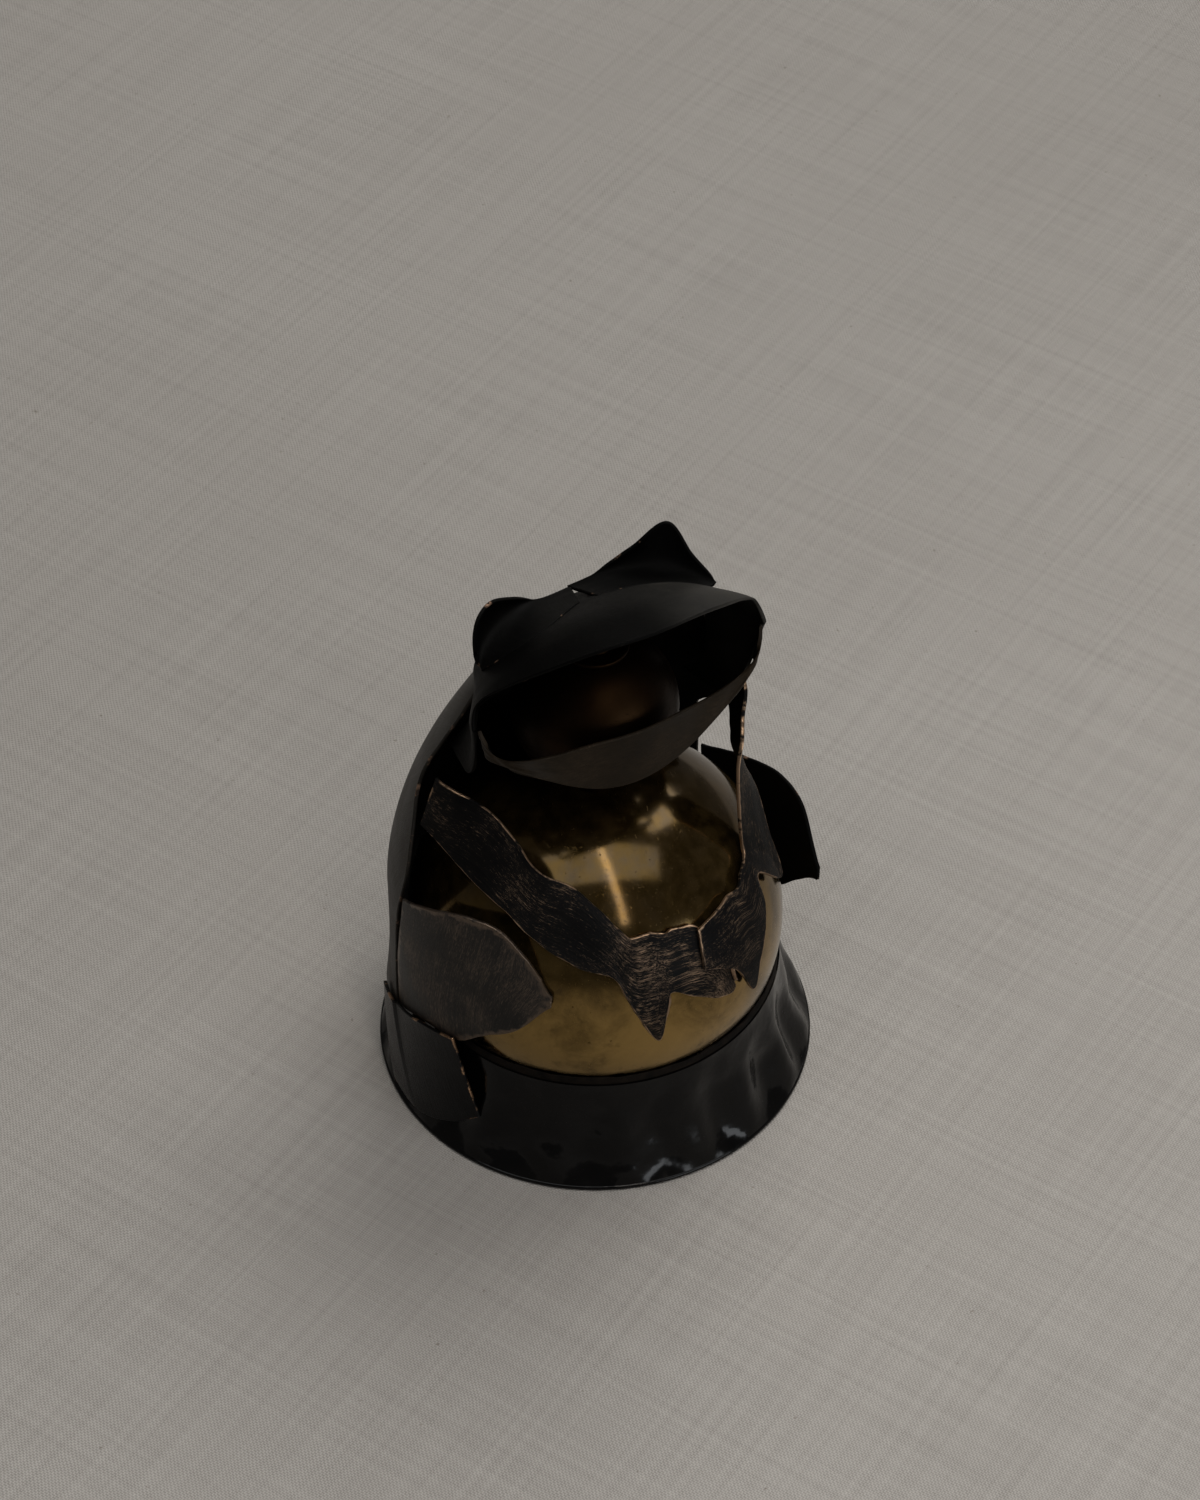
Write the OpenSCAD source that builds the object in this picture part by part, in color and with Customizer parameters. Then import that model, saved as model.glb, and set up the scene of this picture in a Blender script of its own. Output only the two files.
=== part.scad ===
// Miniature oil lamp: a frog of cut and folded sheet copper hugs a round brass oil font,
// which stands in a fluted, black enamelled base. Millimetres, +Z up, the frog faces -Y.
// The origin is the centre of the base's rim, on the surface the lamp stands on.

/* [Font] */
// Radius of the round oil font
ball_r = 25; // [23:0.5:27]
// Wall of the spun brass font
ball_wall = 0.7; // [0.5:0.1:1.2]
// Depth of the flat pressed into the font's underside
ball_flat = 2.5; // [1.5:0.5:4]
// Height of the font's flat above the table
ball_lift = 1; // [0.6:0.2:2]
// Radius of the neck's bore between the font and its upper bulb
neck_bore_r = 2.1; // [2:0.1:2.6]
// Wall of the neck and of the burner's seat
neck_wall = 0.7; // [0.6:0.1:1]
// Height of the neck between the font's crown and the bulb
neck_h = 2.7; // [2:0.1:3.4]
// Radius of the bulb above the neck
bulb_r = 10.8; // [10:0.2:11.4]
// Wall of that bulb
bulb_wall = 0.6; // [0.4:0.1:1]

/* [Base] */
// Radius of the base's rim on the table
rim_r = 29.4; // [28.4:0.2:31]
// Height of the skirt's upper edge, where the font sits in it
skirt_h = 16; // [14:0.5:18]
// Thickness of the enamelled steel
skirt_t = 0.8; // [0.6:0.1:1.2]
// Number of flutes round the skirt
flutes = 18; // [15:1:19]
// Depth of a flute, crest to hollow
flute_depth = 1.4; // [0.6:0.1:1.5]
// Height of the flat hem round the rim
hem_h = 0.8; // [0.6:0.1:1.2]

/* [Burner] */
// Radius of the seat's bore in the bulb's crown
seat_bore_r = 3.3; // [3:0.1:3.8]
// Depth of the seat's upper edge below the top of the bulb
seat_drop = 0.5; // [0.2:0.1:0.7]
// Length of the plug that sits in the seat
plug_l = 2.6; // [2.2:0.2:3]
// Clearance between the plug and its seat
plug_gap = 0.05; // [0.03:0.01:0.1]
// Thickness of the plug's flange
flange_t = 0.6; // [0.4:0.1:0.8]
// Radius of the wick
wick_r = 1.8; // [1.4:0.1:1.9]
// Clearance between the wick and its tube
wick_gap = 0.08; // [0.05:0.01:0.1]
// Wall of the wick tube
tube_wall = 0.5; // [0.3:0.1:0.8]
// Height of the wick tube above the flange
tube_rise = 0.4; // [0.3:0.1:0.6]
// Depth that the wick tube reaches below the plug
tube_drop = 1; // [0.6:0.1:1.2]
// Height of the wick's end above its tube
wick_rise = 0.8; // [0.6:0.1:1]

/* [Frog sheet] */
// Thickness of the copper sheet
sheet_t = 0.5; // [0.4:0.05:0.7]
// Space between the font and the frog's back
body_gap = 2; // [1.4:0.2:3]
// Outward flare of the back at its lower edge
body_flare = 0.8; // [0.4:0.1:1.2]
// Height of the back's lower edge above the table
body_foot_z = 10; // [9:0.5:12]
// How far the nape's sides stand out past the burner head
nape_side = 4; // [3.4:0.2:5]
// How far the nape's rim leans in over the burner head
nape_in = 3.6; // [3:0.2:4.4]
// Height of the nape above the burner head
nape_over = 1.3; // [1:0.1:2.4]
// Half width of the mouth
mouth_w = 20.9; // [20:0.1:22]
// Distance of the mouth's corners in front of the font's axis
corner_y = 7.1; // [6.5:0.1:7.7]
// Distance of the upper lip in front of the font's axis
upper_lip_y = 15; // [14.2:0.2:15.8]
// Distance of the lower lip in front of the font's axis
lower_lip_y = 12.4; // [12.2:0.2:13.4]
// Height of the upper lip above the mouth's corners
gape = 14.3; // [13.5:0.1:15.5]
// Depth of the chin below the mouth's corners
jaw_h = 15.2; // [14:0.2:16]
// Height of the right eye's leaf above the nape
right_eye_h = 7.4; // [6.6:0.2:8.2]
// Height of the left eye's leaf above the nape
left_eye_h = 8.6; // [7.6:0.2:9.6]
// Space between the font and a resting arm's outer face
arm_gap = 0.9; // [0.8:0.05:1]
// Outward spread of the left haunch at its tip
haunch_spread = 4; // [3:0.25:4.5]

/* [Hidden] */
$fn = 72;
eps = 0.01;

// The frog's cuts and bends were laid out for a font of 25 mm radius and follow its size
k = ball_r / 25;

// Heights worked out from the sizes above
ball_z = ball_lift + ball_r - ball_flat;
crown_z = ball_z + ball_r;
neck_top = crown_z + neck_h;
bulb_z = neck_top + bulb_r - 0.1;
bulb_top = bulb_z + bulb_r;
seat_top = bulb_top - seat_drop;
tube_top = seat_top + flange_t + tube_rise;
tube_r = wick_r + wick_gap + tube_wall;
plug_bottom = seat_top - plug_l;
wick_bottom = ball_lift + 6;
body_r = ball_r + body_gap + sheet_t;
body_z = ball_z + 7.7;
nape_z = bulb_top + nape_over;
nape_w = bulb_r + nape_side;
nape_d = bulb_r - nape_in;
corner_z = nape_z - 1.15 * k;

// Round section of the font at a height
function ball_r_at(z) = sqrt(max(0, ball_r * ball_r - (z - ball_z) * (z - ball_z)));
seat_r = ball_r_at(skirt_h) + 0.15;

// Smooth step from 0 to 1
function ease(t) = let (c = max(0, min(1, t))) c * c * (3 - 2 * c);

// Smooth curve through evenly spaced knots, for t from 0 to 1
function through(K, t) =
    let (n = len(K) - 1, s = max(0, min(1, t)) * n, i = min(floor(s), n - 1), f = s - i,
         a = K[max(i - 1, 0)], b = K[i], c = K[i + 1], d = K[min(i + 2, n)])
    0.5 * (2 * b + (c - a) * f + (2 * a - 5 * b + 4 * c - d) * f * f + (3 * b - a - 3 * c + d) * f * f * f);

function unit(v) = v / max(norm(v), 1e-9);
function clamp_i(i, n) = max(0, min(n - 1, i));

// Normal of a grid of points
function grid_normal(P, i, j) =
    let (n = len(P), m = len(P[0]),
         du = P[clamp_i(i + 1, n)][j] - P[clamp_i(i - 1, n)][j],
         dv = P[i][clamp_i(j + 1, m)] - P[i][clamp_i(j - 1, m)])
    unit(cross(du, dv));

// The grid moved along its normals
function grid_offset(P, t) =
    [for (i = [0:len(P) - 1]) [for (j = [0:len(P[0]) - 1]) P[i][j] + t * grid_normal(P, i, j)]];

// Closed sheet between two open grids of the same size
module sheet_between(A, B) {
    n = len(A);
    m = len(A[0]);
    half = n * m;
    pts = concat([for (r = A) for (p = r) p], [for (r = B) for (p = r) p]);
    skin = [for (i = [0:n - 2]) for (j = [0:m - 2]) let (q = i * m + j)
        each [[q, q + 1, q + m + 1], [q, q + m + 1, q + m]]];
    back = [for (f = skin) [f[2] + half, f[1] + half, f[0] + half]];
    side = [for (j = [0:m - 2]) each [[j, half + j + 1, j + 1], [j, half + j, half + j + 1],
                let (q = (n - 1) * m + j) [q, q + 1, half + q + 1],
                let (q = (n - 1) * m + j) [q, half + q + 1, half + q]]];
    ends = [for (i = [0:n - 2]) let (q = i * m, w = i * m + m - 1) each [
        [q, q + m, half + q + m], [q, half + q + m, half + q],
        [w, half + w + m, w + m], [w, half + w, half + w + m]]];
    polyhedron(pts, concat(skin, back, side, ends), convexity = 8);
}

// A sheet of even thickness whose outer face is the grid P; side = 1 or -1 picks its inner side
module sheet(P, side) {
    if (side > 0) sheet_between(P, grid_offset(P, sheet_t));
    else sheet_between(grid_offset(P, -sheet_t), P);
}

// Point on the frog's back at heading a (0 behind, positive to the frog's right) and height z
function back_s(z) = max(0, (z - body_z) / (nape_z - body_z));
function back_low(z) = body_r + body_flare * pow(max(0, (24 - z) / 14), 2);
function back_w(z) = back_low(z) - (body_r - nape_w) * pow(back_s(z), 1.67);
function back_d(z) = back_low(z) - (body_r - nape_d) * pow(back_s(z), 1.42);
function back_pt(a, z) = [-back_w(z) * sin(a), (cos(a) > 0 ? back_d(z) : back_w(z)) * cos(a), z];

// Point near the font: heading, height angle from its centre, and distance off its surface
function ball_pt(p) = let (r = ball_r + p[2] * k)
    [-r * cos(p[1]) * sin(p[0]), r * cos(p[1]) * cos(p[0]), ball_z + r * sin(p[1])];

// A strip of sheet between two edges, kept clear of the font
function strip(E, F, n, m, gap) = [for (i = [0:n]) [for (j = [0:m])
    let (p = through(E, i / n) * (1 - j / m) + through(F, i / n) * (j / m),
         q = p - [0, 0, ball_z], r = norm(q))
    [0, 0, ball_z] + q * max(r, ball_r + gap) / r]];

module base_skirt() {
    rows = 7;
    cols = flutes * 6;
    function wall_r(s) = seat_r + skirt_t + (rim_r - seat_r - skirt_t - 0.2) * pow(s, 2);
    function wave(s, a) = 0.5 * flute_depth * sin(180 * pow(s, 0.8)) * cos(flutes * a);
    function ring(s, off) = [for (j = [0:cols - 1]) let (a = 360 * j / cols, r = wall_r(s) + wave(s, a) + off)
        [r * sin(a), r * cos(a), skirt_h + (hem_h - skirt_h) * s]];
    outer = [for (i = [0:rows]) ring(i / rows, 0)];
    inner = [for (i = [0:rows]) ring(i / rows, -skirt_t)];
    rings = concat(outer, [for (i = [rows:-1:0]) inner[i]]);
    n = len(rings);
    color([0.05, 0.05, 0.06])
        polyhedron([for (r = rings) for (p = r) p],
            [for (i = [0:n - 1]) for (j = [0:cols - 1])
                let (a = i * cols + j, b = i * cols + (j + 1) % cols,
                     c = ((i + 1) % n) * cols + (j + 1) % cols, d = ((i + 1) % n) * cols + j)
                each [[a, b, c], [a, c, d]]], convexity = 8);
}

// The sheet's edge turned in flat under the skirt, on which the lamp stands
module base_hem() {
    color([0.05, 0.05, 0.06]) difference() {
        cylinder(r = rim_r, h = hem_h);
        translate([0, 0, -eps]) cylinder(r = rim_r - 2.2 * skirt_t, h = hem_h + 2 * eps);
    }
}

module font_wall() {
    difference() {
        translate([0, 0, ball_z]) sphere(r = ball_r);
        intersection() {
            translate([0, 0, ball_z]) sphere(r = ball_r - ball_wall);
            translate([-ball_r, -ball_r, ball_lift + ball_wall]) cube([2 * ball_r, 2 * ball_r, 2 * ball_r]);
        }
    }
}

module font_lower_shell() {
    color([0.78, 0.6, 0.3]) intersection() {
        font_wall();
        translate([-ball_r, -ball_r, ball_lift]) cube([2 * ball_r, 2 * ball_r, ball_z - ball_lift]);
    }
}

module font_upper_shell() {
    color([0.78, 0.6, 0.3]) difference() {
        intersection() {
            font_wall();
            translate([-ball_r, -ball_r, ball_z]) cube([2 * ball_r, 2 * ball_r, 2 * ball_r]);
        }
        translate([0, 0, ball_z]) cylinder(r = neck_bore_r + neck_wall, h = 2 * ball_r);
    }
}

module neck_collar() {
    color([0.75, 0.57, 0.28]) translate([0, 0, crown_z - 2.4]) difference() {
        cylinder(r = neck_bore_r + neck_wall, h = neck_h + 2.4 + bulb_wall + 0.8);
        translate([0, 0, -eps]) cylinder(r = neck_bore_r, h = neck_h + 2.4 + bulb_wall + 2);
    }
}

module font_solder_ring() {
    color([0.35, 0.3, 0.27]) difference() {
        rotate_extrude() polygon([[seat_r - 2, skirt_h + 0.05], [seat_r + skirt_t, skirt_h + 0.05],
            [seat_r + 0.4, skirt_h + 1.3]]);
        translate([0, 0, ball_z]) sphere(r = ball_r + 0.12);
    }
}

// The upper bulb of the font, open to the neck below and to the burner's seat above
module bulb_wall_solid() {
    difference() {
        translate([0, 0, bulb_z]) sphere(r = bulb_r);
        translate([0, 0, bulb_z]) sphere(r = bulb_r - bulb_wall);
        translate([0, 0, bulb_z]) cylinder(r = seat_bore_r + neck_wall, h = 2 * bulb_r);
        translate([0, 0, bulb_z - 2 * bulb_r]) cylinder(r = neck_bore_r + neck_wall, h = 2 * bulb_r);
    }
}

module bulb_lower_cup() {
    color([0.7, 0.5, 0.25]) intersection() {
        bulb_wall_solid();
        translate([-bulb_r, -bulb_r, bulb_z - bulb_r]) cube([2 * bulb_r, 2 * bulb_r, bulb_r]);
    }
}

module bulb_upper_cap() {
    color([0.7, 0.5, 0.25]) intersection() {
        bulb_wall_solid();
        translate([-bulb_r, -bulb_r, bulb_z]) cube([2 * bulb_r, 2 * bulb_r, bulb_r]);
    }
}

module burner_seat() {
    color([0.75, 0.57, 0.28]) translate([0, 0, bulb_top - 2.6]) difference() {
        cylinder(r = seat_bore_r + neck_wall, h = 2.6 - seat_drop);
        translate([0, 0, -eps]) cylinder(r = seat_bore_r, h = 2.6 - seat_drop + 2 * eps);
    }
}

module burner_plug() {
    color([0.75, 0.57, 0.28]) translate([0, 0, plug_bottom]) difference() {
        union() {
            cylinder(r = seat_bore_r - plug_gap, h = plug_l);
            translate([0, 0, plug_l]) cylinder(r = seat_bore_r + neck_wall + 0.4, h = flange_t);
        }
        translate([0, 0, -eps]) cylinder(r = tube_r, h = plug_l + flange_t + 2 * eps);
    }
}

module wick_tube() {
    color([0.72, 0.55, 0.3]) translate([0, 0, plug_bottom - tube_drop]) difference() {
        cylinder(r = tube_r, h = tube_top - plug_bottom + tube_drop);
        translate([0, 0, -eps])
            cylinder(r = wick_r + wick_gap, h = tube_top - plug_bottom + tube_drop + 2 * eps);
    }
}

module wick() {
    color([0.85, 0.82, 0.72]) translate([0, 0, wick_bottom])
        cylinder(r = wick_r, h = tube_top + wick_rise - wick_bottom);
}

// The back is a folded half tube that narrows to the nape
function back_right(z) =
    through([80, 78, 79, 82, 84, 80, 70, 74, 80, 83], (z - body_foot_z) / (nape_z - body_foot_z));
function back_left(z) = -59 - 11 * ease((z - ball_z - 17) / 6) - 12 * ease((z - ball_z - 27) / 9);
function back_foot(a) = body_foot_z + 4 * ease((abs(a) - 55) / 30);
module back_shell() {
    n = 22;
    m = 24;
    P = [for (i = [0:n]) [for (j = [0:m])
        let (z0 = body_foot_z + (nape_z - body_foot_z) * i / n,
             a = back_left(z0) + (back_right(z0) - back_left(z0)) * j / m,
             z = z0 + (back_foot(a) - body_foot_z) * (1 - i / n))
        back_pt(a, z)]];
    color([0.2, 0.19, 0.18]) sheet(P, 1);
}

// The crown and upper jaw: a hood from the nape to the upper lip. The lip's course from one
// corner of the mouth to the other is given as shares of the lip's reach forward and upward
upper_reach = [0, -0.1, 0.19, 0.6, 0.9, 1, 0.9, 0.6, 0.19, -0.1, 0];
upper_rise = [0, 0.24, 0.512, 0.787, 0.97, 1, 0.97, 0.787, 0.512, 0.24, 0];
function spine(u) = through([[nape_d + 1.2, nape_z - 0.3], [nape_d - 0.25 * upper_lip_y, nape_z + 0.25 * gape],
    [-0.13 * upper_lip_y, nape_z + 0.53 * gape], [-0.56 * upper_lip_y, nape_z + 0.78 * gape],
    [-upper_lip_y, corner_z + gape]], u);
function hood_w(u) = nape_w + 1.2 + (mouth_w - nape_w - 1.2) * ease(0.15 + 0.85 * u);
function hood_pt(u, b) =
    let (w = hood_w(u), y = 1 - (corner_y + 1) * u, z = nape_z - 1.5 + (corner_z - nape_z + 1.5) * u,
         s = spine(u), c = max(cos(b), 0), t = (b + 90) / 180, f = u * u,
         cy = c * (1 - f) + through(upper_reach, t) * f, cz = c * (1 - f) + through(upper_rise, t) * f)
    [w * sin(b), y + (s[0] - y) * cy, z + (s[1] - z) * cz];
// The cheeks hang from the hood's side edges and close the gap behind the jaw
function cheek_pt(u, side, c) =
    let (e = hood_pt(u, 90 * side), rear = side > 0 ? 9 : 5.6, drop = side > 0 ? 19.5 - 3 * u : 13,
         low = [side * ((mouth_w - 2.6) * (1 - u) + (mouth_w - 0.8) * u),
                rear - (rear - 1) * (1 - c) * (1 - u) - (corner_y + rear - 0.1) * u,
                corner_z - 0.6 - drop * k * (1 - pow(u, 5))])
    e * (1 - c) + low * c - [0, 0.5 * rear * c * (1 - c) * (1 - u), 0];
module head_hood() {
    n = 12;
    m = 22;
    P = [for (i = [0:n]) let (u = i / n) concat([for (c = [1, 0.67, 0.33]) cheek_pt(u, -1, c)],
        [for (j = [0:m]) hood_pt(u, -90 + 180 * j / m)], [for (c = [0.33, 0.67, 1]) cheek_pt(u, 1, c)])];
    color([0.22, 0.21, 0.2]) sheet(P, -1);
}

// The lower jaw: a band from one corner of the mouth round the front to the other
lower_reach = [0, 0.24, 0.26, 0.47, 0.83, 1, 0.83, 0.47, 0.26, 0.24, 0];
lower_drop = [0.1, 2.85, 5.9, 6.7, 5.5, 5.2, 5.5, 6.7, 5.9, 2.85, 0.1];
function lip_pt(b) = let (t = (b + 90) / 180)
    [(mouth_w - 0.6) * sin(b), -corner_y - (lower_lip_y - corner_y) * through(lower_reach, t),
     corner_z - k * through(lower_drop, t)];
function chin_pt(b) = let (c = max(cos(b), 0))
    [(mouth_w - 1.6) * sin(b), -corner_y - (lower_lip_y - corner_y - 1.1) * pow(c, 0.8),
     corner_z - 5.4 * k - (jaw_h - 5.4 * k) * pow(c, 3.1)];
module lower_jaw() {
    n = 5;
    m = 26;
    P = [for (i = [0:n]) [for (j = [0:m])
        let (b = -89 + 178 * j / m, t = i / n)
        lip_pt(b) * (1 - t) + chin_pt(b) * t]];
    color([0.25, 0.23, 0.21]) sheet(P, -1);
}

// A point moved off the hood, away from the middle of the mouth
function off_hood(p, d) = p + d * unit(p - [0, 1, corner_z]);

// An eye: a cupped leaf from its rim down to the nape and forward onto the crown
module eye(side, rim, b0, b1, reach) {
    n = 8;
    m = 14;
    P = [for (i = [0:n]) [for (j = [0:m])
        let (v = j / m, t = i / n, b = b0 + (b1 - b0) * v, top = through(rim, v), f = pow(2 * v - 1, 2),
             low = off_hood(hood_pt(0.34 + reach * sin(180 * v), side * b), 0.9 + 1.6 * reach * sin(180 * v)),
             mid = off_hood(hood_pt(0.06, side * b), 1.3) * (1 - f) + (top + low) / 2 * f)
        top * (1 - t) * (1 - t) + mid * 2 * t * (1 - t) + low * t * t]];
    color([0.12, 0.12, 0.12]) sheet(P, -side);
}
module right_eye() {
    eye(-1, [[0.3, nape_d + 1.3, nape_z + 0.9], [-4, nape_d, nape_z + 2.2], [-8.2, nape_d - 1.4, nape_z + 5],
        [-12, nape_d - 3, nape_z + right_eye_h], [-14.4, 2.8, nape_z + right_eye_h - 0.1],
        [-15.6, 1.8, nape_z + right_eye_h - 1.8], [-16.1, 0.8, nape_z + 3.3]], 4, 64, 0.2);
}
module left_eye() {
    eye(1, [[0.6, nape_d + 1.6, nape_z + 1], [4.6, nape_d + 0.4, nape_z + 2.8], [9.2, nape_d - 0.4, nape_z + 5.5],
        [13.5, nape_d - 1.4, nape_z + left_eye_h], [15.4, 3, nape_z + 4.6], [17.6, 0, nape_z + 1.3]], 4, 64, 0);
}

// The right arm leaves the shoulder, comes down onto the font and ends in a hand of two fingers
right_arm_top = concat([back_pt(83, nape_z - 17.1)], [for (p = [[92, 58, 14], [105, 60, 12.2], [119, 58, 9.6],
    [129, 54, 7.2], [144, 52, 4.5], [155, 46, 2.3], [161, 41, 1.4], [165, 38, 1], [170, 38, 1], [173, 38, 1],
    [178, 37, 1], [183, 37, 1], [191, 34, 1], [196, 24, 1], [197, 13, 1]]) ball_pt(p)]);
right_arm_low = concat([back_pt(84, nape_z - 24.6)], [for (p = [[92, 47, 9.8], [109, 45, 7.7], [121, 42, 5.7],
    [133, 36, 3.2], [146, 30, 1.4], [158, 26, 1], [162, 19, 1], [166, 11, 1], [171, 2, 1], [174, 13, 1],
    [176, 18, 1], [183, 14, 1], [190, 10, 1], [196, 8, 1], [198, 10, 1]]) ball_pt(p)]);
module right_arm() {
    color([0.2, 0.18, 0.17]) sheet(strip(right_arm_top, right_arm_low, 45, 5, arm_gap), 1);
}

// The left arm drops from the neck to the font's side, and its hand lies over the right one
left_arm_front = [for (p = [[-88, 61.5, 18.2], [-101, 60, 16.3], [-109, 59, 13.2],
    [-117, 58, 11.4], [-122, 56, 8.6], [-130, 48, 3.9],
     [-134, 41, 1.6], [-138, 39, 1.6], [-143, 38, 1.6], [-148, 36, 1.6],
    [-154, 37, 1.6], [-160, 36, 1.6], [-166, 35, 1.6], [-171, 34, 1.6]]) ball_pt(p)];
left_arm_back = [for (p = [[-70, 51, 9.7], [-92, 58, 11.7], [-98, 55, 8.6],
    [-103, 53, 6.7], [-111, 44, 4.6], [-118, 34, 2.6],
     [-125, 21, 1.8], [-136, 32, 1.6], [-141, 24, 1.6], [-147, 17, 1.6],
    [-152, 11, 1.6], [-156, 4, 1.6], [-162, 16, 1.6], [-173, 22, 1.6]]) ball_pt(p)];
module left_arm() {
    color([0.2, 0.18, 0.17]) sheet(strip(left_arm_front, left_arm_back, 39, 5, arm_gap + sheet_t + 0.2), -1);
}

// A haunch: a rounded leaf from the back's lower edge, between two curves of heights about the font's centre
function haunch_in(a, z) = let (s = ease((a - 78) / 62))
    max(body_r - 2.6 * s - 2 * s * max(0, z - ball_z) / 15, ball_r_at(z) + arm_gap);
function haunch_out(a) = body_r - 0.3 + haunch_spread * pow(max(0, (a - 75) / 37), 2);
module haunch(side, last, upper, lower) {
    n = 18;
    m = 6;
    P = [for (i = [0:n]) [for (j = [0:m])
        let (t = i / n, v = j / m, z0 = ball_z + k * (upper[0] * (1 - v) + lower[0] * v),
             first = (side > 0 ? back_right(z0) : -back_left(z0)) + 1.3, a = first + (last - first) * t,
             z = ball_z + k * (through(upper, t) * (1 - v) + through(lower, t) * v),
             r = side > 0 ? haunch_in(a, z) : haunch_out(a))
        [-side * r * sin(a), r * cos(a), z]]];
    color([0.22, 0.2, 0.2]) sheet(P, side);
}
module right_haunch() {
    haunch(1, 139, [13.5, 15.6, 17.4, 18.3, 17.4, 13.6, 8.6], [-9.5, -7.2, -5.6, -4.9, -1, 2.2, 7.2]);
}
module left_haunch() {
    haunch(-1, 109, [8.2, 9.4, 10.8, 12.2, 12.8, 11, 2.6], [-9, -9.3, -9.5, -9.3, -8, -3.4, 0.6]);
}

// A foot: a leaf lapped over the haunch's crease and bent in onto the skirt. Its top edge is given by
// headings and heights, its toes by headings, distances in from the rim and heights
function foot_r(a, z) = sheet_t + 0.25 + (a > 81 ? max(haunch_in(a, z), body_r - 1.5) : back_low(z));
module foot(side, top, toes) {
    n = 7;
    m = 6;
    P = [for (i = [0:n]) [for (j = [0:m])
        let (t = i / n, p = through(top, j / m), q = through(toes, j / m),
             a = p[0] * (1 - t) + q[0] * t, z = k * (p[1] * (1 - t) + q[2] * t),
             r = min(rim_r - 0.1, foot_r(p[0], k * p[1]) * (1 - t) + (rim_r - q[1]) * t))
        [-side * r * sin(a), r * cos(a), z]]];
    color([0.12, 0.11, 0.11]) sheet(P, -side);
}
module right_foot() {
    foot(1, [[70, 13.5], [82, 15.4], [95, 17.8], [108, 19.3]],
        [[84, 0.1, 2], [97, 0.1, 2], [109, 1, 4], [118, 2.2, 7]]);
}
module left_foot() {
    foot(-1, [[59, 12.5], [66, 13.5], [74, 14.5]], [[64, 0.1, 2], [74, 0.1, 2], [83, 0.6, 3]]);
}

base_skirt();
base_hem();
font_lower_shell();
font_upper_shell();
neck_collar();
font_solder_ring();
burner_seat();
burner_plug();
bulb_lower_cup();
bulb_upper_cap();
wick_tube();
wick();
back_shell();
head_hood();
lower_jaw();
right_eye();
left_eye();
right_arm();
left_arm();
right_haunch();
left_haunch();
right_foot();
left_foot();
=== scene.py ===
"""Miniature oil lamp: a frog of cut and folded copper sheet hugs a round brass font in a fluted black base.

The visible pieces are finer surfaces over the solids of the frame, worked out from the same sizes in millimetres.
The sections follow the lamp as it is put together: the font, the base under it, the neck and the bulb over it,
the burner and the wick, then the frog's back, head and limbs, and last the cloth, the camera and the light.
"""
import math
import bpy
import numpy as np
from mathutils import Matrix


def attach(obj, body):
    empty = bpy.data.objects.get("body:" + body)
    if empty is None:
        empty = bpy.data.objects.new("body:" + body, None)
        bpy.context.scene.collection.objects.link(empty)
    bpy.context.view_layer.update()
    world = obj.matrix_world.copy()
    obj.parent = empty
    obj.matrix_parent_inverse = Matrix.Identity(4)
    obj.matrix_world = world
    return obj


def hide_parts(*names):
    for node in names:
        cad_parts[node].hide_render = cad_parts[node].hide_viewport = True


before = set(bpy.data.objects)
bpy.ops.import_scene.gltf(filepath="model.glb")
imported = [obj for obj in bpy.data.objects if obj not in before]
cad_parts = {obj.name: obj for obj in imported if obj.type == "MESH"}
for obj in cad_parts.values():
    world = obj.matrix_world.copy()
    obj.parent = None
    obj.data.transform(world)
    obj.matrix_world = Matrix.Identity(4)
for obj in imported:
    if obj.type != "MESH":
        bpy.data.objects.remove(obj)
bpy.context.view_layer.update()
scene = bpy.context.scene
rng = np.random.default_rng(7)
# The font: two halves of a ball spun from brass sheet and soldered at the middle, polished, then tarnished and
# scratched in use. The lower half has a flat underneath, the upper half a hole for the neck.
BALL_R, BALL_WALL, BALL_LIFT, BALL_Z = 25.0, 0.7, 1.0, 23.5
NECK_R = 2.8
def new_object(name, verts, faces, body="lamp", smooth_angle=45):
    """A mesh object at the origin, riding on a body: metres = 0.001 x the points in millimetres."""
    me = bpy.data.meshes.new(name)
    me.from_pydata((np.asarray(verts) * 0.001).tolist(), [], faces)
    me.validate()
    me.polygons.foreach_set("use_smooth", np.ones(len(me.polygons), bool))
    me.set_sharp_from_angle(angle=math.radians(smooth_angle))
    ob = bpy.data.objects.new(name, me)
    scene.collection.objects.link(ob)
    if body:
        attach(ob, body)
    return ob

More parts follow.
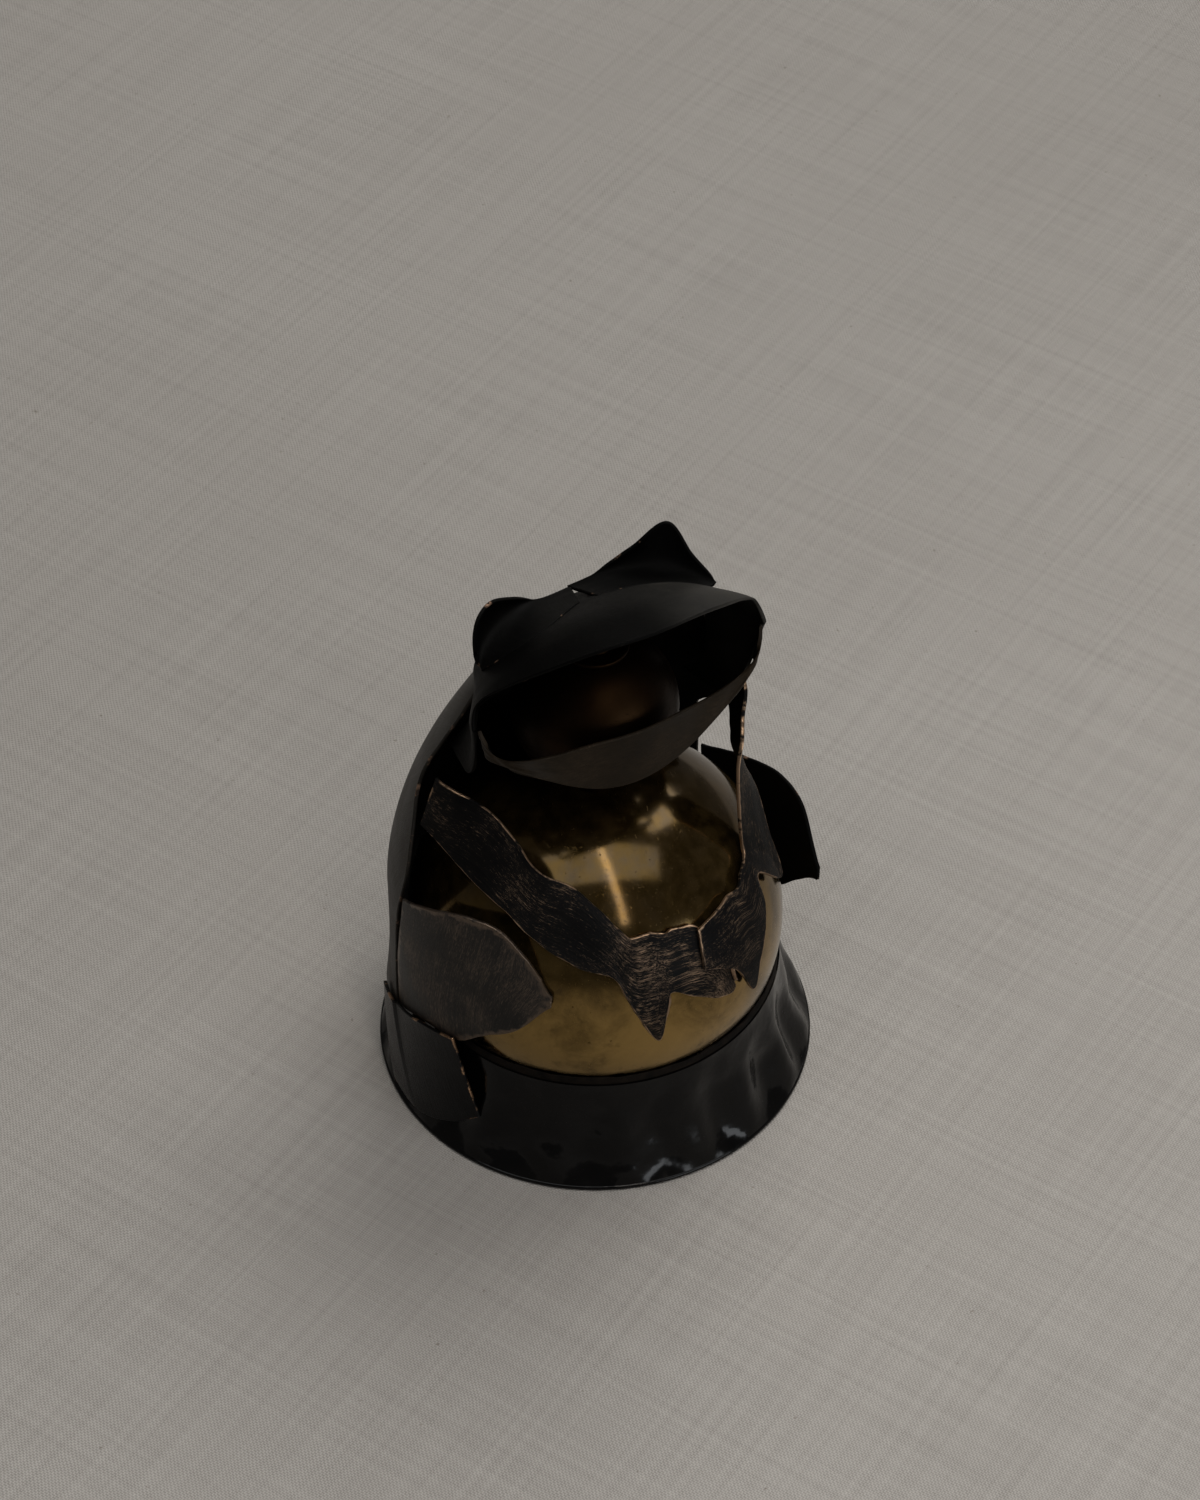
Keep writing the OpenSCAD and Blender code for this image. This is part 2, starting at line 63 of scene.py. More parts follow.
def lathe(name, profile, body="lamp", segments=192, ripple=None, smooth_angle=45):
    """A closed surface of revolution: the profile's point (r, z) at angle a is (r sin a, -r cos a, z).

    A ripple adds its value at (a, z) to r. Where r is 0 the whole row is one point on the axis.
    """
    prof = np.array(profile, float)
    a = np.arange(segments) * 2 * np.pi / segments
    r = prof[:, :1] + (ripple(a[None], prof[:, 1:]) if ripple else 0) + 0 * a
    pole = prof[:, 0] < 1e-6
    r[pole] = 0
    points = np.stack([r * np.sin(a), -r * np.cos(a), prof[:, 1:] + 0 * a], -1).reshape(-1, 3)
    idx = np.arange(len(points)).reshape(len(prof), segments)
    idx[pole] = idx[pole, :1]
    used = np.unique(idx)
    idx = np.searchsorted(used, idx)
    lo, hi = (idx[:-1], idx[1:]) if pole[0] else (idx, np.roll(idx, -1, 0))
    cells = np.stack([lo, np.roll(lo, -1, 1), np.roll(hi, -1, 1), hi], -1)
    at_lo, at_hi = (pole[:-1], pole[1:]) if pole[0] else (0 * pole > 0, 0 * pole > 0)
    faces = cells[~(at_lo | at_hi)].reshape(-1, 4).tolist()
    faces += cells[at_lo][..., [0, 2, 3]].reshape(-1, 3).tolist() + cells[at_hi][..., [0, 1, 2]].reshape(-1, 3).tolist()
    return new_object(name, points[used], faces, body, smooth_angle)
def add(tree, kind, inputs=None, **props):
    """A node with its settings, whose inputs are numbers, colours or other sockets."""
    n = tree.nodes.new(kind)
    for k, v in props.items():
        setattr(n, k, v)
    for k, v in (inputs or {}).items():
        if isinstance(v, bpy.types.NodeSocket):
            tree.links.new(v, n.inputs[k])
        else:
            n.inputs[k].default_value = v
    return n


def ramp(tree, fac, stops, interp="LINEAR"):
    n = add(tree, "ShaderNodeValToRGB", {"Fac": fac})
    cr = n.color_ramp
    cr.interpolation = interp
    while len(cr.elements) < len(stops):
        cr.elements.new(0.5)
    for e, (pos, col) in zip(cr.elements, stops):
        e.position = pos
        e.color = tuple(col) + (1,) if len(col) == 3 else col
    return n.outputs["Color"]


def math_node(tree, op, a, b=0.0, c=0.0, clamp=False):
    return add(tree, "ShaderNodeMath", {0: a, 1: b, 2: c}, operation=op, use_clamp=clamp).outputs[0]


def remap(tree, value, lo, hi, to_lo=0.0, to_hi=1.0):
    return add(tree, "ShaderNodeMapRange", {"Value": value, "From Min": lo, "From Max": hi, "To Min": to_lo, "To Max": to_hi},
               interpolation_type="SMOOTHSTEP").outputs["Result"]


def mix(tree, fac, a, b):
    n = add(tree, "ShaderNodeMix", data_type="RGBA")
    for sock, v in ((n.inputs[0], fac), (n.inputs[6], a), (n.inputs[7], b)):
        if isinstance(v, bpy.types.NodeSocket):
            tree.links.new(v, sock)
        else:
            sock.default_value = v if isinstance(v, float) else tuple(v) + (1,)
    return n.outputs[2]


def noise(tree, vector, scale, detail=4.0, rough=0.55, distortion=0.0):
    return add(tree, "ShaderNodeTexNoise", {"Vector": vector, "Scale": scale, "Detail": detail, "Roughness": rough,
                                            "Distortion": distortion}).outputs["Fac"]


def stretched(tree, vector, scale):
    return add(tree, "ShaderNodeVectorMath", {0: vector, 1: scale}, operation="MULTIPLY").outputs[0]


def new_material(name):
    mat = bpy.data.materials.new(name)
    mat.use_nodes = True
    tree = mat.node_tree
    tree.nodes.clear()
    out = tree.nodes.new("ShaderNodeOutputMaterial")
    bsdf = tree.nodes.new("ShaderNodeBsdfPrincipled")
    tree.links.new(bsdf.outputs[0], out.inputs[0])
    return mat, tree, bsdf

def brass_material(name, low, high, tarnish, rough, dusty):
    """Brass that darkens with height: low and high colours, cloudy tarnish (0 to 1), scratches, specks and dust.

    Height h in metres blends the colours by smoothstep(0.024, 0.044, h); dust is not metallic.
    """
    mat, tree, bsdf = new_material(name)
    place = add(tree, "ShaderNodeTexCoord").outputs["Object"]
    height = add(tree, "ShaderNodeSeparateXYZ", {0: place}).outputs[2]
    cloud = noise(tree, place, 110, 6, 0.65, 0.5)
    blots = noise(tree, place, 430, 5, 0.6)
    specks = noise(tree, place, 1500, 2, 0.5)
    hair = noise(tree, stretched(tree, place, (1, 0.12, 1.4)), 2600, 2, 0.5)
    rise = remap(tree, math_node(tree, "ADD", height, math_node(tree, "MULTIPLY", cloud, 0.012)), 0.026, 0.05)
    clean = mix(tree, rise, low, high)
    veil = math_node(tree, "MULTIPLY", remap(tree, cloud, 0.4, 0.68), tarnish)
    col = mix(tree, veil, clean, tuple(0.4 * c for c in high))
    col = mix(tree, math_node(tree, "MULTIPLY", remap(tree, blots, 0.56, 0.72), 0.35), col, tuple(0.5 * c for c in high))
    dots = remap(tree, specks, 0.70, 0.76)
    col = mix(tree, math_node(tree, "MULTIPLY", dots, 0.5), col, tuple(0.3 * c for c in high))
    dust = math_node(tree, "MULTIPLY", math_node(tree, "MULTIPLY", rise, dusty), remap(tree, blots, 0.3, 0.7, 0.6, 1.3))
    col = mix(tree, dust, col, (0.036, 0.023, 0.012))
    tree.links.new(col, bsdf.inputs["Base Color"])
    tree.links.new(remap(tree, dust, 0, 1, 1, 0), bsdf.inputs["Metallic"])
    scratched = math_node(tree, "MULTIPLY", remap(tree, hair, 0.6, 0.72), 0.14)
    r = math_node(tree, "ADD", remap(tree, veil, 0, 1, rough, rough + 0.12), scratched)
    tree.links.new(math_node(tree, "ADD", r, math_node(tree, "MULTIPLY", dots, 0.2)), bsdf.inputs["Roughness"])
    dents = noise(tree, place, 70, 2, 0.5)
    h = math_node(tree, "ADD", dents, math_node(tree, "MULTIPLY", hair, 0.02))
    b = add(tree, "ShaderNodeBump", {"Strength": 0.12, "Distance": 0.0006, "Height": h})
    tree.links.new(b.outputs[0], bsdf.inputs["Normal"])
    return mat


brass = brass_material("brass_polished", (0.36, 0.235, 0.082), (0.078, 0.047, 0.0115), 0.5, 0.12, 0.3)
lower_in = math.acos((BALL_Z - BALL_LIFT - BALL_WALL) / (BALL_R - BALL_WALL))
lower_out = math.acos((BALL_Z - BALL_LIFT) / BALL_R)
outer = [(BALL_R * math.sin(a), BALL_Z - BALL_R * math.cos(a)) for a in np.linspace(lower_out, math.pi / 2, 90)]
inner = [((BALL_R - BALL_WALL) * math.sin(a), BALL_Z - (BALL_R - BALL_WALL) * math.cos(a)) for a in np.linspace(math.pi / 2, lower_in, 60)]
font_low = lathe("font_lower_ball", [(0, BALL_LIFT)] + outer + inner + [(0, BALL_LIFT + BALL_WALL)], segments=256)
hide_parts("font_lower_shell")
top_out, top_in = math.asin(NECK_R / BALL_R), math.asin(NECK_R / (BALL_R - BALL_WALL))
outer = [(BALL_R * math.sin(a), BALL_Z + BALL_R * math.cos(a)) for a in np.linspace(math.pi / 2, top_out, 90)]
inner = [((BALL_R - BALL_WALL) * math.sin(a), BALL_Z + (BALL_R - BALL_WALL) * math.cos(a)) for a in np.linspace(top_in, math.pi / 2, 60)]
font_up = lathe("font_upper_ball", outer + inner, segments=256)
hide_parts("font_upper_shell")
for ob in (font_low, font_up):
    ob.data.materials.append(brass)
# Solder between the font and the skirt: a dark, uneven fillet run round the joint and blackened with the base.
SKIRT_H = 16.0
BASE_SEAT = math.sqrt(BALL_R ** 2 - (SKIRT_H - BALL_Z) ** 2) + 0.15
mat, tree, bsdf = new_material("dark_solder")
place = add(tree, "ShaderNodeTexCoord").outputs["Object"]
tone = noise(tree, place, 500, 5, 0.6)
tree.links.new(ramp(tree, tone, [(0.35, (0.002, 0.0016, 0.0012)), (0.65, (0.009, 0.006, 0.004))]), bsdf.inputs["Base Color"])
bsdf.inputs["Metallic"].default_value = 0.2
bsdf.inputs["Roughness"].default_value = 0.75
bsdf.inputs["Specular IOR Level"].default_value = 0.1
b = add(tree, "ShaderNodeBump", {"Strength": 0.5, "Distance": 0.0003, "Height": tone})
tree.links.new(b.outputs[0], bsdf.inputs["Normal"])


def beads(a, z):
    """Unevenness of the solder: three sines round the ring, growing with the height over its foot."""
    return (0.06 * np.sin(17 * a + 1) + 0.05 * np.sin(31 * a) + 0.04 * np.sin(53 * a + 2)) * (z - 15.9) * 0.6


fillet = [(0.6, 16.1), (0.62, 16.4), (0.55, 16.8), (0.45, 17.15), (0.32, 17.2), (0.12, 16.4), (0.1, 16.12)]
ring = [(BASE_SEAT + out, z) for out, z in fillet]
solder = lathe("solder_fillet", ring, segments=288, ripple=beads)
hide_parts("font_solder_ring")
solder.data.materials.append(mat)
# The base: a fluted bell pressed from steel sheet in glossy black enamel, its edge turned in to a flat hem.
RIM_R, SKIRT_T, HEM_H, FLUTES, FLUTE_D = 29.4, 0.8, 0.8, 18, 1.4
def sind(a):
    return np.sin(np.radians(a))

def cosd(a):
    return np.cos(np.radians(a))

def stack(x, y, z):
    """Points (x, y, z) from three arrays of one shape."""
    return np.stack(np.broadcast_arrays(x, y, z), -1)

def through(knots, t):
    """Smooth curve through evenly spaced knots for t from 0 to 1, by the cubic of four knots a, b, c, d:

    (2b + (c - a) f + (2a - 5b + 4c - d) f^2 + (3b - a - 3c + d) f^3) / 2, f from 0 at b to 1 at c.
    """
    K = np.asarray(knots, float)
    n = len(K) - 1
    s = np.clip(np.asarray(t, float), 0, 1) * n
    i = np.minimum(np.floor(s).astype(int), n - 1)
    f = s - i
    if K.ndim > 1:
        f = f[..., None]
    a, b, c, d = K[np.maximum(i - 1, 0)], K[i], K[i + 1], K[np.minimum(i + 2, n)]
    return 0.5 * (2 * b + (c - a) * f + (2 * a - 5 * b + 4 * c - d) * f ** 2 + (3 * b - a - 3 * c + d) * f ** 3)

def wobble(shape, cells, seed):
    """Smooth noise between -1 and 1 on a grid, from a few random values per side."""
    r = np.random.default_rng(seed)
    K = r.uniform(-1, 1, (cells[0] + 1, cells[1] + 1))
    A = through(K, np.linspace(0, 1, shape[0]))
    return through(A.T, np.linspace(0, 1, shape[1])).T

# Each flute has its own size and lean, and the wall has shallow dents
flute_size = rng.uniform(0.75, 1.1, FLUTES)
flute_shift = rng.uniform(-0.12, 0.12, FLUTES)
rows, cols = 44, FLUTES * 18
S, A = np.meshgrid(np.linspace(0, 1, rows), np.arange(cols) * 360 / cols, indexing="ij")
wall = BASE_SEAT + SKIRT_T + (RIM_R - BASE_SEAT - SKIRT_T - 0.2) * (0.25 * S + 0.55 * S ** 2 + 0.2 * S ** 5)
turn = A / 360 * FLUTES
size = np.interp(turn % FLUTES, np.arange(FLUTES + 1), np.r_[flute_size, flute_size[0]])
shift = np.interp(turn % FLUTES, np.arange(FLUTES + 1), np.r_[flute_shift, flute_shift[0]])
flutes = 0.7 * FLUTE_D * S * (1 - S ** 8) * size * np.cos(2 * np.pi * (turn + shift * S))
dents = 0.32 * wobble((rows, cols), (5, 54), 91) * np.sin(np.pi * S) * np.sin(np.pi * np.arange(cols) / cols) ** 0.2
R = wall + flutes + dents
Zs = SKIRT_H + (HEM_H - SKIRT_H) * S
out_pts = stack(R * sind(A), R * cosd(A), Zs)
in_pts = stack((R - SKIRT_T) * sind(A), (R - SKIRT_T) * cosd(A), Zs)
idx = np.arange(rows * cols).reshape(rows, cols)
nxt = np.roll(idx, -1, axis=1)
face_out = np.stack([idx[:-1], nxt[:-1], nxt[1:], idx[1:]], -1).reshape(-1, 4)
face_in = face_out[:, ::-1] + rows * cols
top = np.stack([idx[0] + rows * cols, nxt[0] + rows * cols, nxt[0], idx[0]], -1)
low = np.stack([idx[-1], nxt[-1], nxt[-1] + rows * cols, idx[-1] + rows * cols], -1)
skirt = new_object("base_fluted_skirt", np.concatenate([out_pts.reshape(-1, 3), in_pts.reshape(-1, 3)]),
                   np.concatenate([face_out, face_in, top, low]).tolist())
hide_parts("base_skirt")
hem_profile = [(27.64, 0.0), (29.0, 0.0), (29.25, 0.08), (29.38, 0.25), (29.4, 0.42), (29.38, 0.58), (29.25, 0.73),
               (29.0, 0.8), (27.64, 0.8)]
hem = lathe("base_rolled_hem", hem_profile, segments=288)
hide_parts("base_hem")
enamel, tree, bsdf = new_material("black_enamel")
place = add(tree, "ShaderNodeTexCoord").outputs["Object"]
dust = noise(tree, place, 3000, 3, 0.6)
cloud = noise(tree, place, 120, 4, 0.6)
black = ramp(tree, cloud, [(0.3, (0.001, 0.001, 0.0012)), (0.7, (0.0025, 0.0022, 0.002))])
tree.links.new(black, bsdf.inputs["Base Color"])
rough = math_node(tree, "ADD", remap(tree, cloud, 0.3, 0.7, 0.12, 0.2), remap(tree, dust, 0.6, 0.75, 0, 0.15))
tree.links.new(rough, bsdf.inputs["Roughness"])
bsdf.inputs["Specular IOR Level"].default_value = 0.2
b = add(tree, "ShaderNodeBump", {"Strength": 0.6, "Distance": 0.0006, "Height": noise(tree, place, 160, 3, 0.5)})
tree.links.new(b.outputs[0], bsdf.inputs["Normal"])
for ob in (skirt, hem):
    ob.data.materials.append(enamel)
# The neck and the bulb over the font: a short tube carries a smaller brass ball in two cups, tarnished and painted
# near black as shade inside the frog's mouth. A seat ring is soldered into the hole on its top.
BULB_R, BULB_WALL, BULB_Z = 10.8, 0.6, 61.9
SEAT_R = 4.0
# Painted shade: tarnished brass painted near black for the shade under the hood; the neck, seat and burner share it.
tarnish_and_painted_shade_brass = brass_material("brass_tarnish_painted_shade", (0.024, 0.013, 0.006), (0.017, 0.009, 0.004), 0.7, 0.45, 0.0)
def bulb_arc(r, a0, a1, count):
    """Points (r sin a, BULB_Z + r cos a) for a from a0 to a1."""
    return [(r * math.sin(a), BULB_Z + r * math.cos(a)) for a in np.linspace(a0, a1, count)]


BULB_IN = BULB_R - BULB_WALL
bulb_low = lathe("bulb_lower_half", bulb_arc(BULB_R, math.pi - math.asin(NECK_R / BULB_R), math.pi / 2, 60)
                 + bulb_arc(BULB_IN, math.pi / 2, math.pi - math.asin(NECK_R / BULB_IN), 40))
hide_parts("bulb_lower_cup")
bulb_up = lathe("bulb_upper_half", bulb_arc(BULB_R, math.pi / 2, math.asin(SEAT_R / BULB_R), 60)
                + bulb_arc(BULB_IN, math.asin(SEAT_R / BULB_IN), math.pi / 2, 40))
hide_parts("bulb_upper_cap")
for ob in (bulb_low, bulb_up):
    ob.data.materials.append(tarnish_and_painted_shade_brass)

def soft_ring(r0, r1, z0, z1, e):
    """Profile of a ring from radius r0 to r1 and height z0 to z1, its outer edges quarter circles of radius e."""
    q = [math.radians(t) for t in (0, 30, 60, 90)]
    return ([(r0, z0)] + [(r1 - e + e * math.sin(t), z0 + e - e * math.cos(t)) for t in q]
            + [(r1 - e + e * math.cos(t), z1 - e + e * math.sin(t)) for t in q] + [(r0, z1)])
neck = lathe("neck_ring", soft_ring(2.1, NECK_R, 46.1, 52.6, 0.1), segments=96)
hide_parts("neck_collar")
seat = lathe("seat_ring", soft_ring(3.3, SEAT_R, 70.1, 72.2, 0.15), segments=96)
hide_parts("burner_seat")

# The burner: a turned brass plug whose flange rests on the seat, and the wick tube soldered through it. The two
# lift out together.
flange = soft_ring(2.38, 4.4, 72.2, 72.8, 0.2)
plug_profile = [(2.38, 69.6), (3.1, 69.6), (3.25, 69.75), (3.25, 72.2)] + flange[1:]
plug = lathe("plug_and_flange", plug_profile, body="burner", segments=96)
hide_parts("burner_plug")
tube_profile = [(1.88, 68.6), (2.38, 68.6), (2.38, 73.05), (2.3, 73.18), (2.13, 73.2), (1.95, 73.18), (1.88, 73.1)]
tube = lathe("wick_tube_round", tube_profile, body="burner", segments=96)
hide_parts("wick_tube")
for ob in (neck, seat, plug, tube):
    ob.data.materials.append(tarnish_and_painted_shade_brass)

# The wick: round braided cotton held in its tube by friction, its end trimmed, charred and a little frayed.
def braid(a, z):
    """Relief of the braid: 0.05 sin(8a + 5.2z) sin(8a - 5.2z) - 0.06."""
    return 0.05 * np.sin(8 * a + z * 5.2) * np.sin(8 * a - z * 5.2) - 0.06


wick_profile = [(0, 7)] + [(1.8, z) for z in np.arange(7, 73.85, 0.12)] + [(1.6, 73.92), (1.0, 73.98), (0, 73.9)]
wick = lathe("wick_braid", wick_profile, body="wick", segments=64, ripple=braid, smooth_angle=80)
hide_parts("wick")
mat, tree, bsdf = new_material("cotton_braid")
place = add(tree, "ShaderNodeTexCoord").outputs["Object"]
col = ramp(tree, noise(tree, place, 900, 4, 0.6), [(0.3, (0.42, 0.36, 0.27)), (0.7, (0.68, 0.63, 0.52))])
height = add(tree, "ShaderNodeSeparateXYZ", {0: place}).outputs[2]
char = remap(tree, math_node(tree, "ADD", height, math_node(tree, "MULTIPLY", noise(tree, place, 1200, 2), 0.0008)), 0.0734, 0.0744)
tree.links.new(mix(tree, char, col, (0.03, 0.025, 0.02)), bsdf.inputs["Base Color"])
bsdf.inputs["Roughness"].default_value = 0.9
b = add(tree, "ShaderNodeBump", {"Strength": 0.5, "Distance": 0.0001, "Height": noise(tree, place, 3500, 3)})
tree.links.new(b.outputs[0], bsdf.inputs["Normal"])
wick.data.materials.append(mat)
# The frog: copper sheet half a millimetre thick, cut with snips, hammered and folded, blackened and then worn
# back to copper at the cut edges and in brushed scratches. First its back, a folded half tube narrowing to the nape.
SHEET_T = 0.5
NAPE_Z, NAPE_W, NAPE_D = 74.0, 14.8, 7.2
BODY_R, BODY_Z, BODY_FOOT, BODY_FLARE = 27.5, 31.2, 10.0, 0.8
def ease(t):
    """Smooth step from 0 to 1: t^2 (3 - 2t)."""
    c = np.clip(t, 0, 1)
    return c * c * (3 - 2 * c)

def unit(v):
    """v / |v| along the last axis."""
    return v / np.maximum(np.linalg.norm(v, axis=-1, keepdims=True), 1e-9)

def sheet(name, P, side, outer_mat, inner_mat, wave=0.1, seed=1, edge=0.12, cut=0.1):
    """A closed sheet: outer face P(u, v), inner face P - SHEET_T N, N the unit normal dP/du x dP/dv.

    The outer face sinks by 0 to wave, the cut edges by up to cut, and four rings at angles q round the edge:
    P + edge sin(q) T - SHEET_T (1 - cos(q)) / 2 N, T pointing out of the sheet. The attribute "sheet" holds
    the distances in millimetres along u, along v and to the nearest edge.
    """
    n, m = P.shape[:2]
    du = np.gradient(P, axis=0)
    dv = np.gradient(P, axis=1)
    N = -side * unit(np.cross(du, dv))  # outward
    P = P - N * (wave * 0.5 * (1 + wobble((n, m), (7, 5), seed)))[..., None]
    # Distances along the surface to each edge, for the wear and for the inset of the cut edge
    lu = np.zeros((n, m)); lu[1:] = np.cumsum(np.linalg.norm(np.diff(P, axis=0), axis=-1), 0)
    lv = np.zeros((n, m)); lv[:, 1:] = np.cumsum(np.linalg.norm(np.diff(P, axis=1), axis=-1), 1)
    near = np.minimum(np.minimum(lu, lu[-1] - lu), np.minimum(lv, lv[:, -1:] - lv))
    T = np.zeros_like(P)
    T[0] -= unit(du[0]); T[-1] += unit(du[-1]); T[:, 0] -= unit(dv[:, 0]); T[:, -1] += unit(dv[:, -1])
    T = unit(T)
    cells = [max(4, int(length.mean() / 1.5)) for length in (lu[-1], lv[:, -1])]
    ragged = cut * 0.5 * (1 + wobble((n, m), cells, seed + 50))
    rim = np.zeros((n, m), bool)
    rim[0] = rim[-1] = rim[:, 0] = rim[:, -1] = True
    for row in (T[:, 0], T[:, -1]):
        row[2:-2] = unit(row[:-4] + row[1:-3] + row[2:-2] + row[3:-1] + row[4:])
    P[rim] -= T[rim] * (edge + ragged[rim])[:, None]
    Q = P - SHEET_T * N
    loop = ([(0, j) for j in range(m)] + [(i, m - 1) for i in range(1, n)] + [(n - 1, j) for j in range(m - 2, -1, -1)]
            + [(i, 0) for i in range(n - 2, 0, -1)])
    li, lj = np.array(loop).T
    rings = []
    for th in (36, 72, 108, 144):
        rings.append(P[li, lj] + T[li, lj] * edge * math.sin(math.radians(th))
                     - N[li, lj] * SHEET_T * 0.5 * (1 - math.cos(math.radians(th))))
    V = np.concatenate([P.reshape(-1, 3), Q.reshape(-1, 3)] + rings)
    idx = np.arange(n * m).reshape(n, m)
    quads = np.stack([idx[:-1, :-1], idx[1:, :-1], idx[1:, 1:], idx[:-1, 1:]], -1).reshape(-1, 4)
    inner = quads[:, ::-1] + n * m
    ring_rows = 2 * n * m + np.arange(4 * len(loop)).reshape(4, -1)
    chain = np.concatenate([[li * m + lj], ring_rows, [n * m + li * m + lj]])
    after = np.roll(chain, -1, axis=1)
    band = np.stack([chain[:-1], after[:-1], after[1:], chain[1:]], -1).reshape(-1, 4)
    if side > 0:
        quads, inner = quads[:, ::-1], inner[:, ::-1]
    else:
        band = band[:, ::-1]
    F = np.concatenate([quads, inner, band])
    ob = new_object(name, V, F.tolist(), smooth_angle=60)
    info = np.stack([lu, lv, near], -1).reshape(-1, 3)
    ring_info = np.stack([lu[li, lj], lv[li, lj], np.zeros(len(loop))], -1)
    data = np.concatenate([info, info] + [ring_info] * 4).astype(np.float32)
    at = ob.data.attributes.new("sheet", "FLOAT_VECTOR", "POINT")
    at.data.foreach_set("vector", data.ravel())
    ob.data.materials.append(outer_mat)
    ob.data.materials.append(inner_mat)
    which = np.zeros(len(F), np.int32)
    which[len(quads):2 * len(quads)] = 1
    ob.data.polygons.foreach_set("material_index", which)
    return ob

# Wear of the blackened copper, shared by all of the frog: copper along the cut edges and in brushed scratches
wear = bpy.data.node_groups.new("copper_wear", "ShaderNodeTree")
for label, kind, value in (("Edge width", "NodeSocketFloat", 0.4), ("Edge amount", "NodeSocketFloat", 0.5),
                           ("Scratches", "NodeSocketFloat", 0.3), ("Far scratches", "NodeSocketFloat", 0.3),
                           ("Grain", "NodeSocketVector", (1, 0.1, 1))):
    s = wear.interface.new_socket(label, in_out="INPUT", socket_type=kind)
    s.default_value = value
for label in ("Copper", "Tone", "Height"):
    wear.interface.new_socket(label, in_out="OUTPUT", socket_type="NodeSocketFloat")
g_in = add(wear, "NodeGroupInput")
g_out = add(wear, "NodeGroupOutput")
coords = add(wear, "ShaderNodeAttribute", attribute_name="sheet", attribute_type="GEOMETRY")
place = add(wear, "ShaderNodeTexCoord").outputs["Object"]
parts = add(wear, "ShaderNodeSeparateXYZ", {0: coords.outputs["Vector"]})
edge_mm = parts.outputs[2]
flat_uv = stretched(wear, coords.outputs["Vector"], (1, 1, 0))
bend = add(wear, "ShaderNodeTexNoise", {"Vector": flat_uv, "Scale": 0.25}).outputs["Color"]
bent_uv = add(wear, "ShaderNodeVectorMath", {0: flat_uv, 1: stretched(wear, bend, (0.35, 0.35, 0))}, operation="ADD").outputs[0]
grain_uv = stretched(wear, bent_uv, g_in.outputs["Grain"])
cloud = noise(wear, place, 160, 5, 0.6)
patch = noise(wear, place, 420, 4, 0.6)
lines = noise(wear, grain_uv, 3.0, 4, 0.6)
fine = noise(wear, grain_uv, 20, 3, 0.6)
reach = math_node(wear, "MULTIPLY", g_in.outputs["Edge width"], remap(wear, patch, 0.3, 0.7, 0.3, 1.9))
edge_mask = math_node(wear, "SUBTRACT", 1.0, math_node(wear, "DIVIDE", edge_mm, math_node(wear, "MAXIMUM", reach, 0.02)), clamp=True)
start = math_node(wear, "MULTIPLY_ADD", g_in.outputs["Edge amount"], -0.4, 0.7)
there = math_node(wear, "DIVIDE", math_node(wear, "SUBTRACT", noise(wear, place, 260, 4, 0.65), start), 0.08, clamp=True)
edge_mask = math_node(wear, "MULTIPLY", remap(wear, edge_mask, 0.1, 0.7), remap(wear, fine, 0.3, 0.5, 0.35, 1))
edge_mask = math_node(wear, "MULTIPLY", edge_mask, there)
far = math_node(wear, "MULTIPLY", g_in.outputs["Far scratches"], remap(wear, parts.outputs[0], 27, 40))
level = math_node(wear, "MULTIPLY_ADD", math_node(wear, "ADD", g_in.outputs["Scratches"], far), -0.2, 0.72)
level = math_node(wear, "ADD", level, math_node(wear, "MULTIPLY", math_node(wear, "SUBTRACT", 0.5, cloud), 0.35))
both = math_node(wear, "MULTIPLY_ADD", fine, 0.7, math_node(wear, "MULTIPLY", lines, 0.3))
streak = math_node(wear, "DIVIDE", math_node(wear, "SUBTRACT", both, level), 0.07, clamp=True)
worn = math_node(wear, "MAXIMUM", edge_mask, math_node(wear, "MULTIPLY", streak, 0.65))
wear.links.new(worn, g_out.inputs["Copper"])
tone = math_node(wear, "MULTIPLY_ADD", cloud, 0.6, math_node(wear, "MULTIPLY", lines, 0.4))
wear.links.new(tone, g_out.inputs["Tone"])
wear.links.new(math_node(wear, "MULTIPLY_ADD", fine, 0.6, lines), g_out.inputs["Height"])

